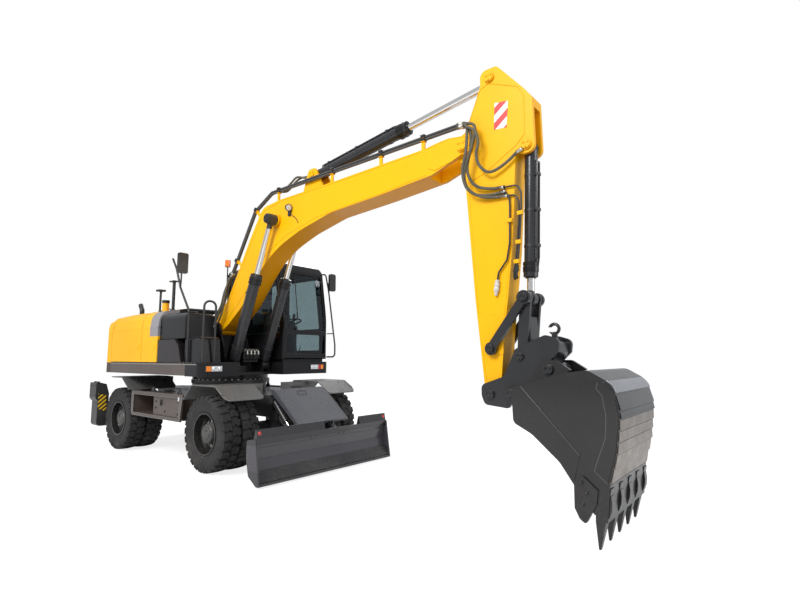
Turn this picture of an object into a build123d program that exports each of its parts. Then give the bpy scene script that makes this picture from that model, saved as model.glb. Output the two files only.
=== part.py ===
from build123d import *
import math
import os

os.makedirs("parts", exist_ok=True)

# A wheeled excavator of the 18 tonne class: a four-wheel chassis on twin tyres with a dozer blade in
# front and two stabilisers behind, and an upper structure that slews on it with cab, engine bay,
# counterweight and a one-piece boom, arm and bucket. Millimetres, +X ahead, +Y left, +Z up. Everything
# is drawn from the slew axis on the ground, and moved by CENTRE_SHIFT when it is written.

REAR_X = -2505.0
FRONT_X = 6607.0
CENTRE_SHIFT = -(REAR_X + FRONT_X) / 2.0

# Running gear
TYRE_RADIUS = 532.0
TYRE_WIDTH = 272.0
TYRE_BEAD_RADIUS = 290.0
TYRE_OUTER_Y = 1246.0
TWIN_PITCH = 302.0
FRONT_AXLE_X = 1289.0
REAR_AXLE_X = -1548.0
HUB_FACE_Y = 1192.0
HUB_RADIUS = 140.0
KINGPIN_Y = 600.0
SPINDLE_RADIUS = 45.0
HALF_WIDTH = 1250.0

# Chassis
FRAME_HALF = 330.0
FRAME_BOTTOM = 700.0
FRAME_TOP = 1020.0
NOSE_X = 1600.0
NOSE_HALF = 360.0
SLEW_TOP = 1220.0
RUN_GAP = 5.0
FIT = 0.05

# Upper structure
DECK_BOTTOM = 1312.0
DECK_TOP = 1513.0
DECK_FRONT = 1170.0
TAIL_RADIUS = 2470.0

# Working equipment: its middle plane stands to the right of the slew axis, clear of the cab
BOOM_Y = -200.0
BOOM_HALF = 175.0
ARM_HALF = 120.0
CYLINDER_SIDE = 285.0
BUCKET_HALF = 582.0

# Pins of the working equipment, (x, z)
BOOM_FOOT = (146.0, 2070.0)
BOOM_CYLINDER_FOOT = (790.0, 1465.0)
BOOM_CYLINDER_ROD = (1673.0, 3683.0)
ARM_PIN = (4985.0, 3952.0)
ARM_CYLINDER_FOOT = (2393.0, 4278.0)
ARM_CYLINDER_ROD = (5311.0, 4662.0)
BUCKET_CYLINDER_FOOT = (5714.0, 3779.0)
BUCKET_CYLINDER_ROD = (5652.0, 2185.0)
ROCKER_PIN = (5278.0, 1680.0)
LINK_PIN = (5599.0, 1600.0)
BUCKET_PIN = (5263.0, 1216.0)
COUPLER_FRONT_PIN = (5903.0, 1477.0)
COUPLER_REAR_PIN = (5513.0, 1235.0)

# Pins of the blade's linkage, (x, z)
BLADE_ARM_FOOT = (1720.0, 740.0)
BLADE_ARM_TIP = (2320.0, 280.0)
BLADE_LINK_RISE = 270.0
BLADE_CYLINDER_FOOT = (1735.0, 958.0)
BLADE_CYLINDER_ROD = (2185.0, 520.0)
BLADE_CYLINDER_SIDE = 385.0
BLADE_HALF = 1253.0


def save(name, *solids):
    """Write one node, moved so that the whole machine is centred over the origin."""
    shape = solids[0] if len(solids) == 1 else Compound(children=list(solids))
    shape = Pos(CENTRE_SHIFT, 0, 0) * shape
    export_step(shape, f"parts/{name}.step")


def block(x0, x1, y0, y1, z0, z1):
    """A box between two corners."""
    size = (abs(x1 - x0), abs(y1 - y0), abs(z1 - z0))
    return Pos((x0 + x1) / 2, (y0 + y1) / 2, (z0 + z1) / 2) * Box(*size)


def face_of(rows):
    """A flat face from rows of (u, v, corner radius)."""
    count = len(rows)
    entries = []
    exits = []
    curves = []
    for index in range(count):
        u, v, radius = rows[index]
        corner = Vector(u, v)
        before = Vector(*rows[index - 1][:2])
        after = Vector(*rows[(index + 1) % count][:2])
        if radius <= 0:
            entries.append(corner)
            exits.append(corner)
            curves.append(None)
            continue
        back = (before - corner).normalized()
        ahead = (after - corner).normalized()
        half = math.radians(back.get_angle(ahead)) / 2
        run = radius / math.tan(half)
        middle = (back + ahead).normalized()
        centre = corner + middle * (radius / math.sin(half))
        entries.append(corner + back * run)
        exits.append(corner + ahead * run)
        curves.append(ThreePointArc(entries[-1], centre - middle * radius, exits[-1]))
    edges = []
    for index in range(count):
        if curves[index] is not None:
            edges.append(curves[index])
        start = exits[index]
        end = entries[(index + 1) % count]
        if (end - start).length > 0.01:
            edges.append(Line(start, end))
    return make_face(Wire(edges))


def plate(rows, y0, y1):
    """A plate whose outline lies in X and Z, from y0 to y1."""
    low, high = sorted((y0, y1))
    plane = Plane(origin=(0, high, 0), x_dir=(1, 0, 0), z_dir=(0, -1, 0))
    return extrude(plane * face_of(rows), amount=high - low)


def cross_plate(rows, x0, x1):
    """A plate whose outline lies in Y and Z, from x0 to x1."""
    low, high = sorted((x0, x1))
    plane = Plane(origin=(low, 0, 0), x_dir=(0, 1, 0), z_dir=(1, 0, 0))
    return extrude(plane * face_of(rows), amount=high - low)


def slab(rows, z0, z1):
    """A plate whose outline lies in X and Y, from z0 to z1."""
    return extrude(Plane.XY.offset(z0) * face_of(rows), amount=z1 - z0)


def bar_y(pin, radius, y0, y1):
    """A round bar along Y at (x, z)."""
    return Pos(pin[0], (y0 + y1) / 2, pin[1]) * Rot(90, 0, 0) * Cylinder(radius, abs(y1 - y0))


def rod(start, end, radius):
    """A round bar between two points in space."""
    start = Vector(*start)
    end = Vector(*end)
    plane = Plane(origin=start, z_dir=(end - start).normalized())
    return extrude(plane * Circle(radius), amount=(end - start).length)


def rail(points, radius, bend):
    """A bent round tube through points, with one bend radius."""
    path = FilletPolyline(*points, radius=bend)
    start = path.position_at(0)
    return sweep(Plane(origin=start, z_dir=path.tangent_at(0)) * Circle(radius), path=path)


def mirrored(solid):
    """The same piece on the other side of the machine."""
    return mirror(solid, about=Plane.XZ)


def along(start, end, distance):
    """The point at a distance from start towards end, both (x, z)."""
    length = math.dist(start, end)
    return (start[0] + (end[0] - start[0]) * distance / length,
            start[1] + (end[1] - start[1]) * distance / length)


def line_rod(start, end, y, radius, first, last):
    """A round bar on the line from start to end, between two distances from start."""
    a = along(start, end, first)
    b = along(start, end, last)
    return rod((a[0], y, a[1]), (b[0], y, b[1]), radius)


# ---------------------------------------------------------------- tyres, rims, axles and knuckles

# Tyre section: radius, distance from the tyre's middle, corner radius
TYRE_ROWS = [
    (TYRE_BEAD_RADIUS, -104, 0),
    (330, -124, 0),
    (420, -136, 25),
    (505, -132, 12),
    (TYRE_RADIUS, -112, 0),
    (TYRE_RADIUS, 112, 0),
    (505, 132, 12),
    (420, 136, 25),
    (330, 124, 0),
    (TYRE_BEAD_RADIUS, 104, 0),
]


def ring(rows, x, y, z):
    """A body of revolution about a Y axis, from rows of (radius, offset along Y, corner radius)."""
    return Pos(x, y, z) * revolve(face_of(rows), axis=Axis.Y)


def make_tyres(x, side):
    """The twin tyres of one wheel."""
    tyres = []
    for number in range(2):
        y = TYRE_OUTER_Y - TYRE_WIDTH / 2 - number * TWIN_PITCH
        tyres.append(ring(TYRE_ROWS, x, side * y, TYRE_RADIUS))
    return tyres


BARREL_OUTER = TYRE_BEAD_RADIUS - 0.3
BARREL_INNER = 262.0
BARREL_INSIDE_Y = 676.0
BARREL_OUTSIDE_Y = 1232.0
DISC_Y = 1075.0
HUB_INSIDE_Y = 700.0

# Rim and hub section on the left side: radius, y, corner radius
RIM_ROWS = [
    (SPINDLE_RADIUS + FIT, HUB_INSIDE_Y, 0),
    (125, HUB_INSIDE_Y, 0),
    (125, DISC_Y - 22, 0),
    (BARREL_INNER, DISC_Y - 22, 0),
    (BARREL_INNER, BARREL_INSIDE_Y, 0),
    (BARREL_OUTER, BARREL_INSIDE_Y, 0),
    (BARREL_OUTER, BARREL_OUTSIDE_Y, 0),
    (BARREL_INNER + 8, BARREL_OUTSIDE_Y, 0),
    (BARREL_INNER - 10, DISC_Y + 60, 20),
    (215, DISC_Y, 20),
    (185, DISC_Y, 0),
    (185, DISC_Y + 30, 0),
    (HUB_RADIUS, DISC_Y + 30, 0),
    (HUB_RADIUS, HUB_FACE_Y - 20, 0),
    (HUB_RADIUS - 20, HUB_FACE_Y, 0),
    (0, HUB_FACE_Y, 0),
    (0, 960, 0),
    (SPINDLE_RADIUS + FIT, 960, 0),
]

for place, x, side in (("front_left", FRONT_AXLE_X, 1), ("front_right", FRONT_AXLE_X, -1),
                       ("rear_left", REAR_AXLE_X, 1), ("rear_right", REAR_AXLE_X, -1)):
    save(f"tyres_{place}", *make_tyres(x, side))
    rim = ring(RIM_ROWS, x, 0, TYRE_RADIUS)
    save(f"rim_{place}", rim if side > 0 else mirrored(rim))

FLANGE_RADIUS = 118.0
FLANGE_FACE_Y = HUB_INSIDE_Y - RUN_GAP
YOKE_RADIUS = 58.0
KINGPIN_RADIUS = 25.0
STEER_ARM_X = FRONT_AXLE_X - 200.0
STEER_ARM_Y = 520.0
STEER_ARM_Z = 420.0


def make_knuckle():
    """The left steering knuckle: kingpin, flange, spindle and steering arm."""
    kingpin = Pos(FRONT_AXLE_X, KINGPIN_Y, TYRE_RADIUS)
    body = kingpin * Cylinder(YOKE_RADIUS - 4, 300)
    body += kingpin * Cylinder(KINGPIN_RADIUS, 440)
    hub = (FRONT_AXLE_X, TYRE_RADIUS)
    body += bar_y(hub, FLANGE_RADIUS, KINGPIN_Y + 60, FLANGE_FACE_Y)
    body += bar_y(hub, 50, KINGPIN_Y, KINGPIN_Y + 62)
    body += bar_y(hub, SPINDLE_RADIUS, FLANGE_FACE_Y - 5, 950)
    arm = [
        (FRONT_AXLE_X, KINGPIN_Y + 30, 0),
        (FRONT_AXLE_X, KINGPIN_Y - 40, 0),
        (STEER_ARM_X - 32, STEER_ARM_Y - 32, 25),
        (STEER_ARM_X - 32, STEER_ARM_Y + 32, 25),
    ]
    body += slab(arm, STEER_ARM_Z - 25, STEER_ARM_Z)
    return body


knuckle_left = make_knuckle()
save("knuckle_left", knuckle_left)
save("knuckle_right", mirrored(knuckle_left))

tie_rod = rod((STEER_ARM_X, -STEER_ARM_Y, STEER_ARM_Z + 28), (STEER_ARM_X, STEER_ARM_Y, STEER_ARM_Z + 28), 20)
for side in (-1, 1):
    tie_rod += Pos(STEER_ARM_X, side * STEER_ARM_Y, STEER_ARM_Z + 28) * Cylinder(28, 46)
save("tie_rod", tie_rod)


def make_front_axle():
    """The steered axle: a beam with a differential bulge and a yoke at each end."""
    hub = (FRONT_AXLE_X, TYRE_RADIUS)
    beam = block(FRONT_AXLE_X - 90, FRONT_AXLE_X + 90, -530, 530, TYRE_RADIUS - 80, TYRE_RADIUS + 80)
    beam += Pos(FRONT_AXLE_X, 0, TYRE_RADIUS) * Sphere(165)
    beam += block(FRONT_AXLE_X - 70, FRONT_AXLE_X + 70, -150, 150, TYRE_RADIUS + 60, FRAME_BOTTOM)
    for side in (-1, 1):
        beam -= Pos(hub[0], side * KINGPIN_Y, hub[1]) * Cylinder(YOKE_RADIUS + 22, 400)
        for level in (-1, 1):
            lug = Pos(hub[0], side * KINGPIN_Y, hub[1] + level * 180) * Cylinder(YOKE_RADIUS, 40)
            web = block(hub[0] - 50, hub[0] + 50, side * 470, side * KINGPIN_Y, hub[1] + level * 160,
                        hub[1] + level * 200)
            strut = block(hub[0] - 30, hub[0] + 30, side * 440, side * 505, hub[1] + level * 60,
                          hub[1] + level * 200)
            beam += lug + web + strut
        beam -= Pos(hub[0], side * KINGPIN_Y, hub[1]) * Cylinder(KINGPIN_RADIUS + FIT, 500)
    return beam


def make_rear_axle():
    """The rigid rear axle with its flanges and spindles."""
    hub = (REAR_AXLE_X, TYRE_RADIUS)
    beam = bar_y(hub, 95, -650, 650)
    beam += Pos(REAR_AXLE_X, 0, TYRE_RADIUS) * Sphere(166)
    beam += block(REAR_AXLE_X - 90, REAR_AXLE_X + 90, -300, 300, TYRE_RADIUS, FRAME_BOTTOM)
    for side in (-1, 1):
        beam += bar_y(hub, FLANGE_RADIUS, side * 640, side * FLANGE_FACE_Y)
        beam += bar_y(hub, SPINDLE_RADIUS, side * 640, side * 950)
    return beam


save("axles", make_front_axle(), make_rear_axle())

# ---------------------------------------------------------------- chassis

STABILISER_PIVOT = (1020.0, 460.0)
STABILISER_X0 = -2460.0
STABILISER_X1 = -2200.0
LUG_THICK = 40.0
STABILISER_PIN = 32.0
STABILISER_OUT = 1340.0
# Tie-down eyes on the stabiliser beam: x, y, z of the hole
TIE_DOWN = (-2310.0, 600.0, 830.0)
TIE_DOWN_THICK = 30.0
TIE_DOWN_RADIUS = 30.0


def blade_link_foot():
    return (BLADE_ARM_FOOT[0], BLADE_ARM_FOOT[1] + BLADE_LINK_RISE)


def make_chassis():
    """The welded frame: spine, slewing drum, front nose and rear stabiliser beam."""
    frame = block(-2000, NOSE_X, -FRAME_HALF, FRAME_HALF, FRAME_BOTTOM, FRAME_TOP)
    frame += Pos(0, 0, (FRAME_TOP + SLEW_TOP) / 2) * Cylinder(600, SLEW_TOP - FRAME_TOP)
    frame += Pos(0, 0, SLEW_TOP - 30) * Cylinder(655, 60)
    nose = [(NOSE_X, 470, 40), (NOSE_X, 1040, 0), (NOSE_X + 50, 1040, 0), (NOSE_X + 50, 470, 0)]
    frame += plate(nose, -NOSE_HALF, NOSE_HALF)
    for side in (-1, 1):
        for inner in (208, 333):
            lug = [(NOSE_X + 40, 660, 0), (NOSE_X + 40, 820, 0), (1762, 790, 40), (1762, 690, 40)]
            frame += plate(lug, side * inner, side * (inner + 25))
        for inner in (BLADE_CYLINDER_SIDE - 75, BLADE_CYLINDER_SIDE + 50):
            ear = [(NOSE_X, 900, 0), (NOSE_X, 1010, 0), (1780, 1003, 40), (1780, 913, 40)]
            frame += plate(ear, side * inner, side * (inner + 25))
        frame += block(NOSE_X, NOSE_X + 50, side * (FRAME_HALF - 10), side * (BLADE_CYLINDER_SIDE + 75),
                       900, 1010)
        foot = blade_link_foot()
        for inner in (212, 308):
            top = [(NOSE_X, foot[1] - 60, 0), (NOSE_X, foot[1] + 25, 0), (1750, foot[1] + 25, 30),
                   (1750, foot[1] - 35, 30)]
            frame += plate(top, side * inner, side * (inner + 20))
    frame += block(-2160, -1990, -260, 260, 480, FRAME_TOP)
    frame += block(STABILISER_X0 + 20, STABILISER_X1 - 20, -880, 880, 400, 760)
    frame += block(STABILISER_X1 - 30, -2150, -260, 260, 480, 760)
    for side in (-1, 1):
        x, y, z = TIE_DOWN
        eye = [(side * (y - 70), 750, 0), (side * (y - 45), z + 50, 40), (side * (y + 45), z + 50, 40),
               (side * (y + 70), 750, 0)]
        frame += cross_plate(eye, x - TIE_DOWN_THICK / 2, x + TIE_DOWN_THICK / 2)
        frame -= rod((x - TIE_DOWN_THICK, side * y, z), (x + TIE_DOWN_THICK, side * y, z), TIE_DOWN_RADIUS)
    for side in (-1, 1):
        y, z = STABILISER_PIVOT
        for x0 in (STABILISER_X0 - RUN_GAP - LUG_THICK, STABILISER_X1 + RUN_GAP):
            lug = [(side * 780, z - 100, 0), (side * (y + 95), z - 100, 80), (side * (y + 95), z + 110, 80),
                   (side * 780, z + 290, 0)]
            frame += cross_plate(lug, x0, x0 + LUG_THICK)
        frame += block(STABILISER_X0 - 10, STABILISER_X1 + 10, side * 780, side * 880, 400, 740)
        start = (STABILISER_X0 - 60, side * y, z)
        frame -= rod(start, (STABILISER_X1 + 60, side * y, z), STABILISER_PIN + FIT)
    return frame


save("chassis_frame", make_chassis())

SIDE_BOX_X0 = -1000.0
SIDE_BOX_X1 = 480.0
SIDE_BOX_TIP = 690.0
SIDE_BOX_BOTTOM = 640.0
SIDE_BOX_TOP = 1040.0


def make_side_box():
    """The left step box: a hollow body behind an open frame plate."""
    body = block(SIDE_BOX_X0, SIDE_BOX_X1, FRAME_HALF + 1, 1190, SIDE_BOX_BOTTOM, FRAME_TOP - 8)
    outline = [(SIDE_BOX_X0, SIDE_BOX_BOTTOM, 60), (SIDE_BOX_X0, SIDE_BOX_TOP, 0),
               (SIDE_BOX_TIP, SIDE_BOX_TOP, 0), (SIDE_BOX_TIP - 60, SIDE_BOX_BOTTOM, 0)]
    rim_plate = plate(outline, 1190, HALF_WIDTH)
    opening = [(SIDE_BOX_X0 + 60, SIDE_BOX_BOTTOM + 40, 30), (SIDE_BOX_X0 + 60, SIDE_BOX_TOP - 50, 0),
               (SIDE_BOX_TIP - 60, SIDE_BOX_TOP - 50, 0), (SIDE_BOX_TIP - 100, SIDE_BOX_BOTTOM + 40, 0)]
    rim_plate -= plate(opening, 1215, HALF_WIDTH + 10)
    corner = [(SIDE_BOX_X1 - 1, 1180), (SIDE_BOX_TIP + 20, 1180)]
    swing = [(corner[0][0], 1180, 0), (corner[1][0], 1180, 0), (corner[1][0], 1234, 0)]
    rim_plate -= slab(swing, SIDE_BOX_BOTTOM - 10, SIDE_BOX_TOP + 10)
    recess = block(SIDE_BOX_X0 + 60, -280, 900, HALF_WIDTH, SIDE_BOX_BOTTOM + 40, SIDE_BOX_TOP - 50)
    return body + rim_plate - recess


side_box = make_side_box()
save("side_boxes", side_box, mirrored(side_box))

FENDER_THICK = 16.0
# Fender plates on the left: name, inner y, rows of (x, top z)
FENDERS = (
    ("front", 620, ((700, 985), (940, 1200), (1550, 1200), (1830, 1020))),
    ("rear", 400, ((-1900, 1250), (-1440, 1250), (-1130, 1050))),
)


def folded_plate(points, y0, y1, thick):
    """A sheet folded along Y, from the points of its upper side."""
    rows = [(x, z, 0) for x, z in points]
    rows += [(x, z - thick, 0) for x, z in reversed(points)]
    return plate(rows, y0, y1)


fenders = []
for name, inner, points in FENDERS:
    sheet = folded_plate(points, inner, HALF_WIDTH, FENDER_THICK)
    ends = (points[0][0], points[-1][0])
    plan = [(ends[0], inner, 0), (ends[0], HALF_WIDTH, 30), (ends[1], HALF_WIDTH, 90), (ends[1], inner, 60)]
    sheet &= slab(plan, 900, 1300)
    crown = points[1] if name == "front" else points[0]
    bracket = block(crown[0] + 120, crown[0] + 320, FRAME_HALF - 60, inner + 60, FRAME_TOP + 100,
                    crown[1] - FENDER_THICK)
    post = block(crown[0] + 120, crown[0] + 320, FRAME_HALF - 80, FRAME_HALF - 20, FRAME_TOP + 0.5,
                 crown[1] - FENDER_THICK)
    one = sheet + bracket + post
    fenders.append(one)
    fenders.append(mirrored(one))
save("fenders", *fenders)

# ---------------------------------------------------------------- stabilisers


def make_stabiliser():
    """The left stabiliser: a leg folded up with its foot pad outside."""
    y, z = STABILISER_PIVOT
    pin_end = RUN_GAP + LUG_THICK
    pin = rod((STABILISER_X0 - pin_end, y, z), (STABILISER_X1 + pin_end, y, z), STABILISER_PIN)
    leg = [(y - 92, z - 60, 50), (1095, 366, 0), (1160, 348, 0), (STABILISER_OUT, 345, 70),
           (STABILISER_OUT, 1140, 20), (1200, 1100, 0), (1150, 930, 0), (1150, 660, 60), (y - 60, z + 130, 80)]
    body = cross_plate(leg, STABILISER_X0, STABILISER_X1) + pin
    pad = [(STABILISER_OUT, 800, 0), (STABILISER_OUT, 1130, 0), (STABILISER_OUT + 35, 1130, 15),
           (STABILISER_OUT + 35, 850, 25)]
    body += cross_plate(pad, STABILISER_X0 - 40, STABILISER_X1 - 5)
    return body


stabiliser = make_stabiliser()
save("stabiliser_left", stabiliser)
save("stabiliser_right", mirrored(stabiliser))

# ---------------------------------------------------------------- dozer blade


def make_blade_arms():
    """Two lower arms joined by a cross tube, with ears for the lift cylinders."""
    arms = bar_y(along(BLADE_ARM_FOOT, BLADE_ARM_TIP, 470), 50, -560, 560)
    for side in (-1, 1):
        length = math.dist(BLADE_ARM_FOOT, BLADE_ARM_TIP)
        arm = line_rod(BLADE_ARM_FOOT, BLADE_ARM_TIP, side * 283, 42, 0, length)
        eyes = bar_y(BLADE_ARM_FOOT, 48, side * 247, side * 318)
        eyes += bar_y(BLADE_ARM_TIP, 48, side * 247, side * 318)
        root = along(BLADE_ARM_FOOT, BLADE_ARM_TIP, 470)
        for inner in (BLADE_CYLINDER_SIDE - 55, BLADE_CYLINDER_SIDE + 35):
            x, z = BLADE_CYLINDER_ROD
            ear = [(root[0] - 60, root[1] - 20, 0), (x - 50, z + 50, 40), (x + 50, z + 50, 40),
                   (root[0] + 60, root[1] - 20, 0)]
            arms += plate(ear, side * inner, side * (inner + 20))
        arms += arm + eyes
    return arms


save("blade_arms", make_blade_arms())

COVER_RIGHT_Y = -430.0
COVER_LEFT_Y = 560.0


def make_blade_cover():
    """The wide sloped cover that is also the upper link of the blade."""
    foot = blade_link_foot()
    tip = (BLADE_ARM_TIP[0], BLADE_ARM_TIP[1] + BLADE_LINK_RISE)
    rows = [(foot[0] - 40, foot[1] + 112, 0), (foot[0] + 50, foot[1] + 112, 0), (tip[0] + 5, tip[1] + 120, 0),
            (tip[0] - 25, tip[1] + 90, 0), (foot[0] - 40, foot[1] + 88, 0)]
    cover = plate(rows, COVER_RIGHT_Y, COVER_LEFT_Y)
    length = math.dist(foot, tip)
    for y in (-270, 270):
        cover += line_rod(foot, tip, y, 30, 0, length)
        cover += bar_y(foot, 34, y - 22, y + 22)
        cover += bar_y(tip, 34, y - 22, y + 22)
        web = [(foot[0], foot[1], 0), (foot[0] + 20, foot[1] + 100, 0), (tip[0] - 20, tip[1] + 97, 0),
               (tip[0] - 10, tip[1], 0)]
        cover += plate(web, y - 12, y + 12)
    return cover


save("blade_cover", make_blade_cover())

# Blade front face, from its top edge down: x, z
BLADE_FACE = ((2512, 589), (2462, 470), (2440, 330), (2468, 200), (2530, 95), (2592, 28))
BLADE_BACK_X = 2400.0
SPILL_TOP = 700.0


def make_blade():
    """A moldboard with end plates, spill plates, a back frame and hinge ears."""
    rows = [(x, z, 0) for x, z in BLADE_FACE]
    rows += [(2560, 28, 0), (2420, 150, 0), (BLADE_BACK_X, 330, 0), (2418, 470, 0), (2470, 589, 0)]
    blade = plate(rows, -BLADE_HALF + 22, BLADE_HALF - 22)
    blade += block(2385, 2425, -BLADE_HALF + 22, BLADE_HALF - 22, 420, 470)
    blade += block(2380, 2440, -BLADE_HALF + 22, BLADE_HALF - 22, 170, 240)
    end = [(2330, 560, 40), (2512, 589, 0), (2592, 28, 0), (2540, 28, 0), (2380, 130, 0), (2330, 330, 0)]
    spill = [(2440, 560, 0), (2475, SPILL_TOP, 0), (2490, SPILL_TOP, 0), (2512, 589, 0)]
    for side in (-1, 1):
        blade += plate(end, side * (BLADE_HALF - 24), side * BLADE_HALF)
        blade += plate(spill, side * (BLADE_HALF - 24), side * (620 if side > 0 else 90))
    tip = (BLADE_ARM_TIP[0], BLADE_ARM_TIP[1] + BLADE_LINK_RISE)
    for side in (-1, 1):
        for inner in (208, 333):
            x, z = BLADE_ARM_TIP
            low = [(x - 45, z - 45, 40), (x - 45, z + 45, 40), (2425, z + 60, 0), (2425, z - 60, 0)]
            blade += plate(low, side * inner, side * (inner + 25))
        for inner in (212, 308):
            high = [(tip[0] - 36, tip[1] - 36, 30), (tip[0] - 36, tip[1] + 22, 20), (2480, 580, 0),
                    (2480, 500, 0), (2430, 440, 0), (2400, 440, 0)]
            blade += plate(high, side * inner, side * (inner + 20))
    return blade


save("blade", make_blade())


def make_cylinder_pair(maker, centre, spacing):
    """Two like cylinders, one each side of a middle plane."""
    return [maker(centre - spacing), maker(centre + spacing)]


def blade_tube(y):
    tube = line_rod(BLADE_CYLINDER_FOOT, BLADE_CYLINDER_ROD, y, 48, 30, 400)
    tube += bar_y(BLADE_CYLINDER_FOOT, 48, y - 40, y + 40)
    bore = line_rod(BLADE_CYLINDER_FOOT, BLADE_CYLINDER_ROD, y, 25 + FIT, 60, 420)
    return tube - bore


def blade_rod(y):
    length = math.dist(BLADE_CYLINDER_FOOT, BLADE_CYLINDER_ROD)
    bar = line_rod(BLADE_CYLINDER_FOOT, BLADE_CYLINDER_ROD, y, 25, 300, length)
    return bar + bar_y(BLADE_CYLINDER_ROD, 40, y - 28, y + 28)


save("blade_cylinder_tubes", *make_cylinder_pair(blade_tube, 0, BLADE_CYLINDER_SIDE))
save("blade_cylinder_rods", *make_cylinder_pair(blade_rod, 0, BLADE_CYLINDER_SIDE))

# ---------------------------------------------------------------- upper frame, deck and counterweight

RIGHT_BOX_Y = -630.0
LEFT_BOX_Y = 205.0
CENTRE_FRONT = 900.0


def make_upper_frame():
    """The slewing deck: side boxes, middle plates, boom brackets and cylinder lugs."""
    right = [(-1950, -1100, 0), (720, -1100, 0), (720, -HALF_WIDTH, 0), (DECK_FRONT, -HALF_WIDTH, 130),
             (DECK_FRONT, RIGHT_BOX_Y, 0), (-1950, RIGHT_BOX_Y, 0)]
    left = [(-1950, 1100, 0), (720, 1100, 0), (720, HALF_WIDTH, 0), (DECK_FRONT, HALF_WIDTH, 130),
            (DECK_FRONT, LEFT_BOX_Y, 0), (-1950, LEFT_BOX_Y, 0)]
    deck = slab(right, DECK_BOTTOM, DECK_TOP)
    deck += slab(left, DECK_BOTTOM, DECK_TOP)
    deck += block(-1950, 640, RIGHT_BOX_Y - 5, LEFT_BOX_Y + 5, DECK_BOTTOM, DECK_TOP - 60)
    deck += block(600, CENTRE_FRONT, RIGHT_BOX_Y - 5, LEFT_BOX_Y + 5, DECK_BOTTOM, DECK_BOTTOM + 45)
    deck += Pos(0, 0, (SLEW_TOP + RUN_GAP + DECK_BOTTOM) / 2) * Cylinder(625, DECK_BOTTOM - SLEW_TOP - RUN_GAP)
    foot = BOOM_FOOT
    bracket = [(foot[0] - 420, DECK_TOP - 70, 0), (foot[0] - 120, foot[1] + 110, 90),
               (foot[0] + 120, foot[1] + 110, 90), (foot[0] + 330, DECK_TOP + 120, 40),
               (foot[0] + 380, DECK_TOP - 70, 0)]
    for side in (-1, 1):
        deck += plate(bracket, BOOM_Y + side * 215, BOOM_Y + side * 250)
        for inner in (CYLINDER_SIDE - 75, CYLINDER_SIDE + 52):
            x, z = BOOM_CYLINDER_FOOT
            lug = [(x - 130, DECK_BOTTOM, 0), (x - 80, z + 75, 60), (x + 75, z + 75, 60),
                   (x + 90, DECK_BOTTOM, 0)]
            deck += plate(lug, BOOM_Y + side * inner, BOOM_Y + side * (inner + 22))
    deck += bar_y(foot, 45, BOOM_Y - 250, BOOM_Y + 250)
    return deck


save("upper_frame", make_upper_frame())

skirt_rows = [(-1960, 1110, 0), (-1960, HALF_WIDTH, 0), (715, HALF_WIDTH, 0), (715, 1110, 0)]
skirt = slab(skirt_rows, DECK_BOTTOM + 8, DECK_TOP - 10)
save("side_skirts", skirt, mirrored(skirt))

SHOULDER_TOP = 2330.0
COUNTERWEIGHT_X = -1965.0


def make_counterweight():
    """The cast counterweight: round in plan about the slew axis, with a shoulder on top."""
    plan = slab([(COUNTERWEIGHT_X, -HALF_WIDTH, 0), (COUNTERWEIGHT_X, HALF_WIDTH, 0),
                 (-2600, HALF_WIDTH, 0), (-2600, -HALF_WIDTH, 0)], DECK_BOTTOM + 8, 2300)
    plan &= Cylinder(TAIL_RADIUS, 6000)
    profile = [(COUNTERWEIGHT_X, DECK_BOTTOM + 8, 0), (COUNTERWEIGHT_X, 2290, 0), (-2120, 2240, 150),
               (-2400, 2020, 260), (TAIL_RADIUS * -1, 1500, 0), (-2400, DECK_BOTTOM + 8, 0)]
    weight = plan & plate(profile, -HALF_WIDTH, HALF_WIDTH)
    section = [(-HALF_WIDTH, DECK_BOTTOM, 0), (HALF_WIDTH, DECK_BOTTOM, 0), (HALF_WIDTH, SHOULDER_TOP, 240),
               (-HALF_WIDTH, SHOULDER_TOP, 240)]
    return weight & cross_plate(section, -2700, COUNTERWEIGHT_X)


save("counterweight", make_counterweight())

PANEL_THICK = 40.0
BULKHEAD_X = -290.0
CAB_BULKHEAD_X = -680.0
CAB_SIDE_Y = 230.0
HOOD_LOW = 2080.0


def make_engine_bay():
    """The fixed bay: the bulkhead that steps back behind the cab, and the posts between the doors."""
    bay = block(BULKHEAD_X - 30, BULKHEAD_X, -1180, CAB_SIDE_Y, DECK_TOP, HOOD_LOW - 5)
    bay += block(CAB_BULKHEAD_X - 30, BULKHEAD_X, CAB_SIDE_Y - 30, CAB_SIDE_Y, DECK_TOP, HOOD_LOW - 5)
    bay += block(CAB_BULKHEAD_X - 30, CAB_BULKHEAD_X, CAB_SIDE_Y - 30, HALF_WIDTH, DECK_TOP, HOOD_LOW - 5)
    for side, front in ((-1, BULKHEAD_X), (1, CAB_BULKHEAD_X)):
        bay += block(-1960, -1900, side * 1100, side * 1200, DECK_TOP, HOOD_LOW - 5)
        bay += block(-780, -720, side * 1100, side * 1200, DECK_TOP, HOOD_LOW - 5)
        bay += block(-1960, front - 10, side * 1140, side * 1200, HOOD_LOW - 35, HOOD_LOW - 5)
    return bay


save("engine_bay", make_engine_bay())
save("engine", block(-1700, -860, -420, 620, DECK_TOP + 5, 2200))

HOOD_REAR = (-1955.0, 2300.0)
HOOD_FRONT = (-190.0, 2430.0)
LID_X = (-1880.0, -830.0)
LID_HALF = 640.0


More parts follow.
